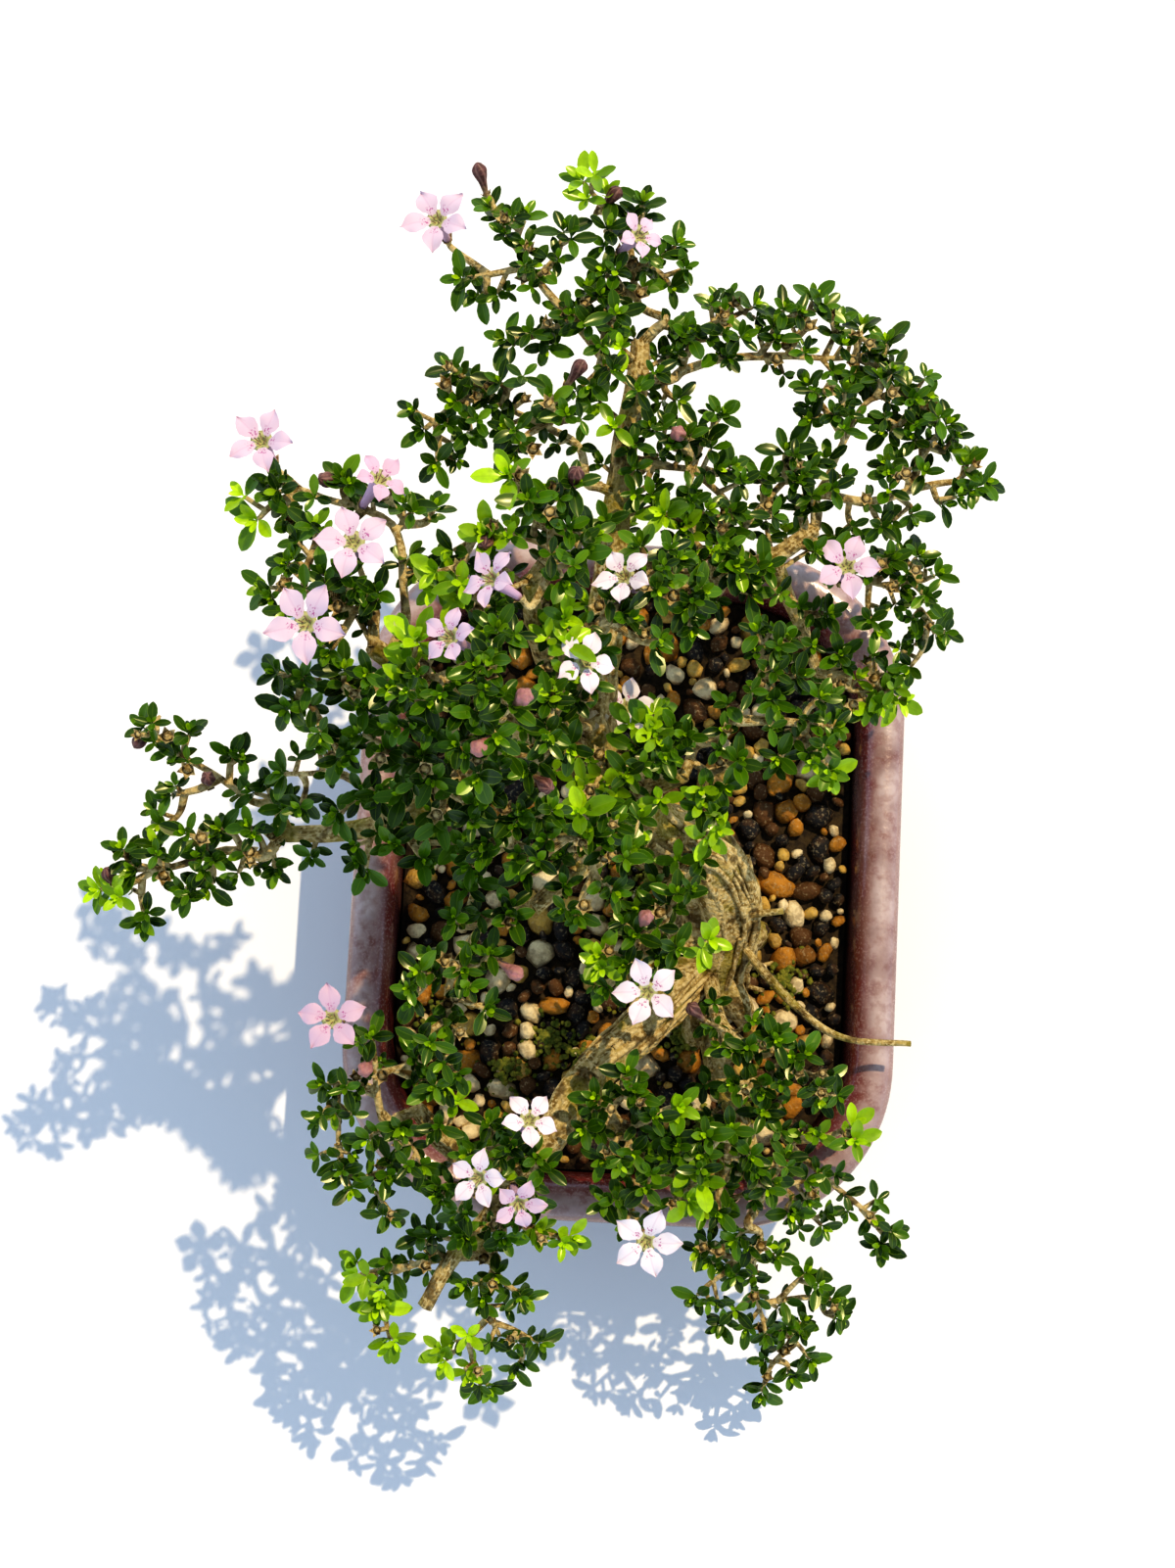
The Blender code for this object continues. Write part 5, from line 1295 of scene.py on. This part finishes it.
class Stem:
    """One leafy stem: twigs, leaves, closed buds and open blooms."""

    def __init__(self, number, plan, lines):
        self.number, self.plan = number, plan
        self.chance = random.Random(SEED * 7 + number)
        self.spins = random.Random(SEED * 100 + number)
        start, self.foot, self.way = stem_foot(plan, lines)
        self.stub = (start, self.foot)
        self.lines = []
        self.twigs, self.leaves = Patch(), Patch()
        self.buds, self.petals, self.stamens = Patch(), Patch(), Patch()

    def branch_point(self, target):
        """Where a new twig leaves the stem: some way back from the point nearest its tip."""
        if not self.lines:
            return self.foot
        near, _, along = nearest_on(self.lines, target)
        back = min((target - near).length * BRANCH_BACK, BRANCH_BACK_MOST)
        near, _, _ = nearest_on(self.lines, near - along * back)
        return near

    def add_twig(self, targets, radius):
        start = self.branch_point(targets[0])
        route = [start]
        if not self.lines:
            route.append(start + self.way * 0.003)
        if len(targets) == 1:
            bend = Vector([self.chance.uniform(-1, 1) for _ in range(3)]) * 0.0010
            route.append(start.lerp(targets[0], 0.55) + bend)
        route = smooth_route(route + targets, 5)
        self.lines.append((route, even_radii(route, radius, 0.0004)))
        rough_tube(self.twigs, route, radius, TWIG_TIP, 7, TWIG_ROUGH, self.number)
        return route

    def grow(self):
        plan = self.plan
        if is_clump(plan):
            self.add_twig([self.foot.lerp(tips_middle(plan), 0.7)], CLUMP_RADIUS)
        routes = []
        for arm in sorted(plan["arms"], key=lambda arm: -len(arm)):
            main = len(arm) > 1
            route = self.add_twig([spot(p) for p in arm], MAIN_RADIUS if main else SIDE_RADIUS)
            routes.append((route, arm[-1], main))
        for entry in plan.get("blooms", ()):
            self.add_flower(entry)
        for point in plan.get("buds", ()):
            self.add_bud(point)
        for route, tip, main in routes:
            young = YOUNG_TINT if near_any(tip, YOUNG, YOUNG_REACH) else 0.0
            self.add_leaves(route, young, main, tip[0] < SPARSE_LEFT_OF)

    def add_flower(self, entry):
        tip_x, tip_y, scale = entry[3:]
        axis = Vector((tip_x, tip_y, 1.0)).normalized()
        foot = spot(entry[:3]) - axis * BLOOM_TUBE
        spin = self.spins.uniform(0, math.tau)
        self.add_twig([foot - axis * 0.003, foot], SIDE_RADIUS)
        add_calyx(self.twigs, foot, axis, BLOOM_CALYX)
        near_white = near_any(entry, PALE_BLOOMS, SAME_PLACE)
        pale = self.chance.uniform(0.75, 1.0) if near_white else self.chance.uniform(0.0, 0.3)
        width = BLOOM_WIDTH * scale
        add_bloom(self.petals, foot, axis, spin, width, BLOOM_TUBE, self.chance, pale)
        add_stamens(self.stamens, foot, axis, spin, BLOOM_TUBE)

    def add_bud(self, point):
        end = spot(point)
        near, _, _ = nearest_on(self.lines, end)
        axis = ((end - near).normalized() + UPWARD * 0.35).normalized()
        start = end - axis * BUD_LENGTH
        self.add_twig([start], BUD_STALK)
        add_calyx(self.twigs, start, axis, BUD_CALYX)
        pink = near_any(point, PINK_BUDS, SAME_PLACE)
        radius = BUD_RADIUS * (PINK_BUD_SWELL if pink else 1.0)
        add_bud(self.buds, start, end, radius, 1.0 if pink else 0.0)

    def add_leaves(self, route, young, main, sparse):
        """Rosettes in clusters with bare twig between them, from the tip back."""
        chance = self.chance
        axis = (route[-1] - route[-2]).normalized()
        add_rosette(self.leaves, route[-1], axis, chance, 1.12, young, 4)
        lengths = [(b - a).length for a, b in zip(route, route[1:])]
        total = sum(lengths)
        leafy = total * (0.78 if main else 0.85)
        most = 2 if sparse else 4
        gap = BARE_GAP * (1.6 if sparse else 1.0)
        walked = NODE_STEP * 0.7
        left_in_cluster = chance.randint(1, most)
        while walked < leafy:
            left, i = total - walked, 0
            while i < len(lengths) - 1 and left > lengths[i]:
                left -= lengths[i]
                i += 1
            at = route[i].lerp(route[i + 1], min(1.0, left / lengths[i]))
            axis = (route[i + 1] - route[i]).normalized()
            if chance.random() < SHOOT_SHARE:
                self.add_shoot(at, axis, young)
            else:
                add_rosette(self.leaves, at, axis, chance, 0.9, young, 2)
            if chance.random() < CALYX_SHARE:
                self.add_dry_calyx(at)
            walked += NODE_STEP * chance.uniform(0.7, 1.1)
            left_in_cluster -= 1
            if left_in_cluster == 0:
                walked += chance.uniform(0.0015, gap)
                left_in_cluster = chance.randint(most // 2, most)

    def add_dry_calyx(self, at):
        """A dry star on a short spur, left where a bloom has dropped."""
        chance = self.chance
        way = Vector([chance.uniform(-0.6, 0.6), chance.uniform(-0.6, 0.6), 1.0]).normalized()
        end = at + way * chance.uniform(*DRY_SPUR)
        add_spur(self.twigs, at, end, 6, 0.5, 0.00045)
        add_calyx(self.twigs, end, way, chance.uniform(*DRY_CALYX))

    def add_shoot(self, at, axis, young):
        """A short side spur that ends in a rosette."""
        chance = self.chance
        out = around(side_ways(axis), chance.uniform(0, math.tau))
        way = (axis * 0.5 + out * 0.9 + UPWARD * 0.55).normalized()
        end = at + way * chance.uniform(*SHOOT_LENGTH)
        add_spur(self.twigs, at, end, 5, 0.3)
        add_rosette(self.leaves, end, way, chance, chance.uniform(0.66, 0.95), young,
                    chance.choice((2, 3, 3, 4)))

    def make(self, looks, bloom_number):
        tag = "%02d" % self.number
        self.leaves.make("leaves_" + tag, looks["leaf"], "leaf", ("leafy_stem_" + tag,))
        self.twigs.make("twigs_" + tag, looks["twig"], "bark")
        if "buds" in self.plan:
            self.buds.make("buds_" + tag, looks["bud"], "petal")
        if "blooms" in self.plan:
            count = len(self.plan["blooms"])
            nodes = ["bloom_%02d" % (bloom_number + k) for k in range(count)]
            self.petals.make("blooms_" + tag, looks["petal"], "petal", nodes)
            self.stamens.make("stamens_" + tag, looks["stamen"], "petal")


def build_limb_shoots(looks):
    """Short leafy spurs that break straight from the thin ends of the limbs."""
    chance = random.Random(SEED + 2)
    leaves, twigs = Patch(), Patch()
    for name, (first, share_per_metre) in SHOOT_LIMBS.items():
        points, start, end = LIMBS[name]
        route = photo_route(points, 6)
        for i in range(1, len(route)):
            share = i / (len(route) - 1)
            length = (route[i] - route[i - 1]).length
            if share < first or chance.random() > share_per_metre * length:
                continue
            along = (route[i] - route[i - 1]).normalized()
            out = around(side_ways(along), chance.uniform(0, math.tau))
            way = (out + along * 0.3 + UPWARD * 0.6).normalized()
            root = route[i] + out * ((start + (end - start) * share) * MM * 0.6)
            tip = root + way * chance.uniform(*LIMB_SPUR)
            add_spur(twigs, root, tip, 6, 0.35)
            add_rosette(leaves, tip, way, chance, chance.uniform(0.75, 1.0),
                        chance.choice((0.0, 0.0, 0.0, 0.5)), chance.choice((3, 4)))
            if chance.random() < 0.5:
                add_rosette(leaves, root.lerp(tip, 0.5), way, chance, 0.75, 0.0, 1)
    leaves.make("limb_leaves", looks["leaf"], "leaf")
    twigs.make("limb_spurs", looks["twig"], "bark")


def build_plant():
    lines = wood_lines()
    looks = {"leaf": leaf_look(),
             "twig": bark_look("twig bark", False, (0.60, 0.47, 0.22)),
             "bud": bud_look(),
             "petal": petal_look(),
             "stamen": plain_look("stamen", (0.34, 0.22, 0.16), 0.6, (0.22, 0.12, 0.08))}
    stems = [Stem(k + 1, plan, lines) for k, plan in enumerate(STEMS)]
    build_trunk([stem.stub for stem in stems])
    build_pruned_face()
    bloom_number = 1
    for stem in stems:
        stem.grow()
        stem.make(looks, bloom_number)
        bloom_number += len(stem.plan.get("blooms", ()))
    build_limb_shoots(looks)
    build_rootlets(looks["twig"])


# Stage, light and camera
TABLE_SIZE = 6.0
TABLE_DROP = 0.0002
TABLE_WHITE = (0.80, 0.80, 0.80, 1.0)
SUN_AIM = Vector((0.0, 0.0, 0.08))


def build_stage():
    bpy.ops.mesh.primitive_plane_add(size=TABLE_SIZE, location=(0, 0, -TABLE_DROP))
    floor = bpy.context.object
    floor.name = "floor"
    white = bpy.data.materials.new("white table")
    white.use_nodes = True
    shader = white.node_tree.nodes["Principled BSDF"]
    shader.inputs["Base Color"].default_value = TABLE_WHITE
    shader.inputs["Roughness"].default_value = 0.7
    floor.data.materials.append(white)


def build_sun():
    """A warm round lamp far off, which throws crisp shadows."""
    data = bpy.data.lights.new("key", "AREA")
    data.shape = "DISK"
    data.size = SUN_SIZE
    data.energy = SUN_POWER
    data.color = SUN_COLOUR
    made = bpy.data.objects.new("key", data)
    made.location = SUN_AIM + Vector(SUN_WAY).normalized() * SUN_DISTANCE
    made.rotation_euler = (SUN_AIM - made.location).to_track_quat("-Z", "Y").to_euler()
    bpy.context.scene.collection.objects.link(made)


def build_sky():
    """A pale blue sky that is brighter towards the horizon."""
    world = bpy.data.worlds.new("studio")
    world.use_nodes = True
    tree = world.node_tree
    way = tree.nodes.new("ShaderNodeTexCoord")
    parts = tree.nodes.new("ShaderNodeSeparateXYZ")
    tree.links.new(way.outputs["Generated"], parts.inputs[0])
    fall = tree.nodes.new("ShaderNodeMapRange")
    tree.links.new(parts.outputs["Z"], fall.inputs["Value"])
    fall.inputs["To Min"].default_value = SKY_LOW
    fall.inputs["To Max"].default_value = SKY_HIGH
    backdrop = tree.nodes["Background"]
    backdrop.inputs["Color"].default_value = (*SKY_COLOUR, 1.0)
    tree.links.new(fall.outputs["Result"], backdrop.inputs["Strength"])
    scene = bpy.context.scene
    scene.world = world
    scene.view_settings.view_transform = "Standard"
    scene.view_settings.look = "High Contrast"


def build_camera():
    data = bpy.data.cameras.new("camera")
    data.lens = LENS_MM
    data.sensor_width = SENSOR_MM
    data.clip_start = 0.01
    made = bpy.data.objects.new("camera", data)
    turn = Matrix((SIDE, UP, -AHEAD)).transposed()
    made.matrix_world = Matrix.Translation(EYE) @ turn.to_4x4()
    bpy.context.scene.collection.objects.link(made)
    bpy.context.scene.camera = made


build_stage()
build_sun()
build_sky()
build_camera()
build_pot()
build_soil()
build_grit()
build_moss()
build_plant()
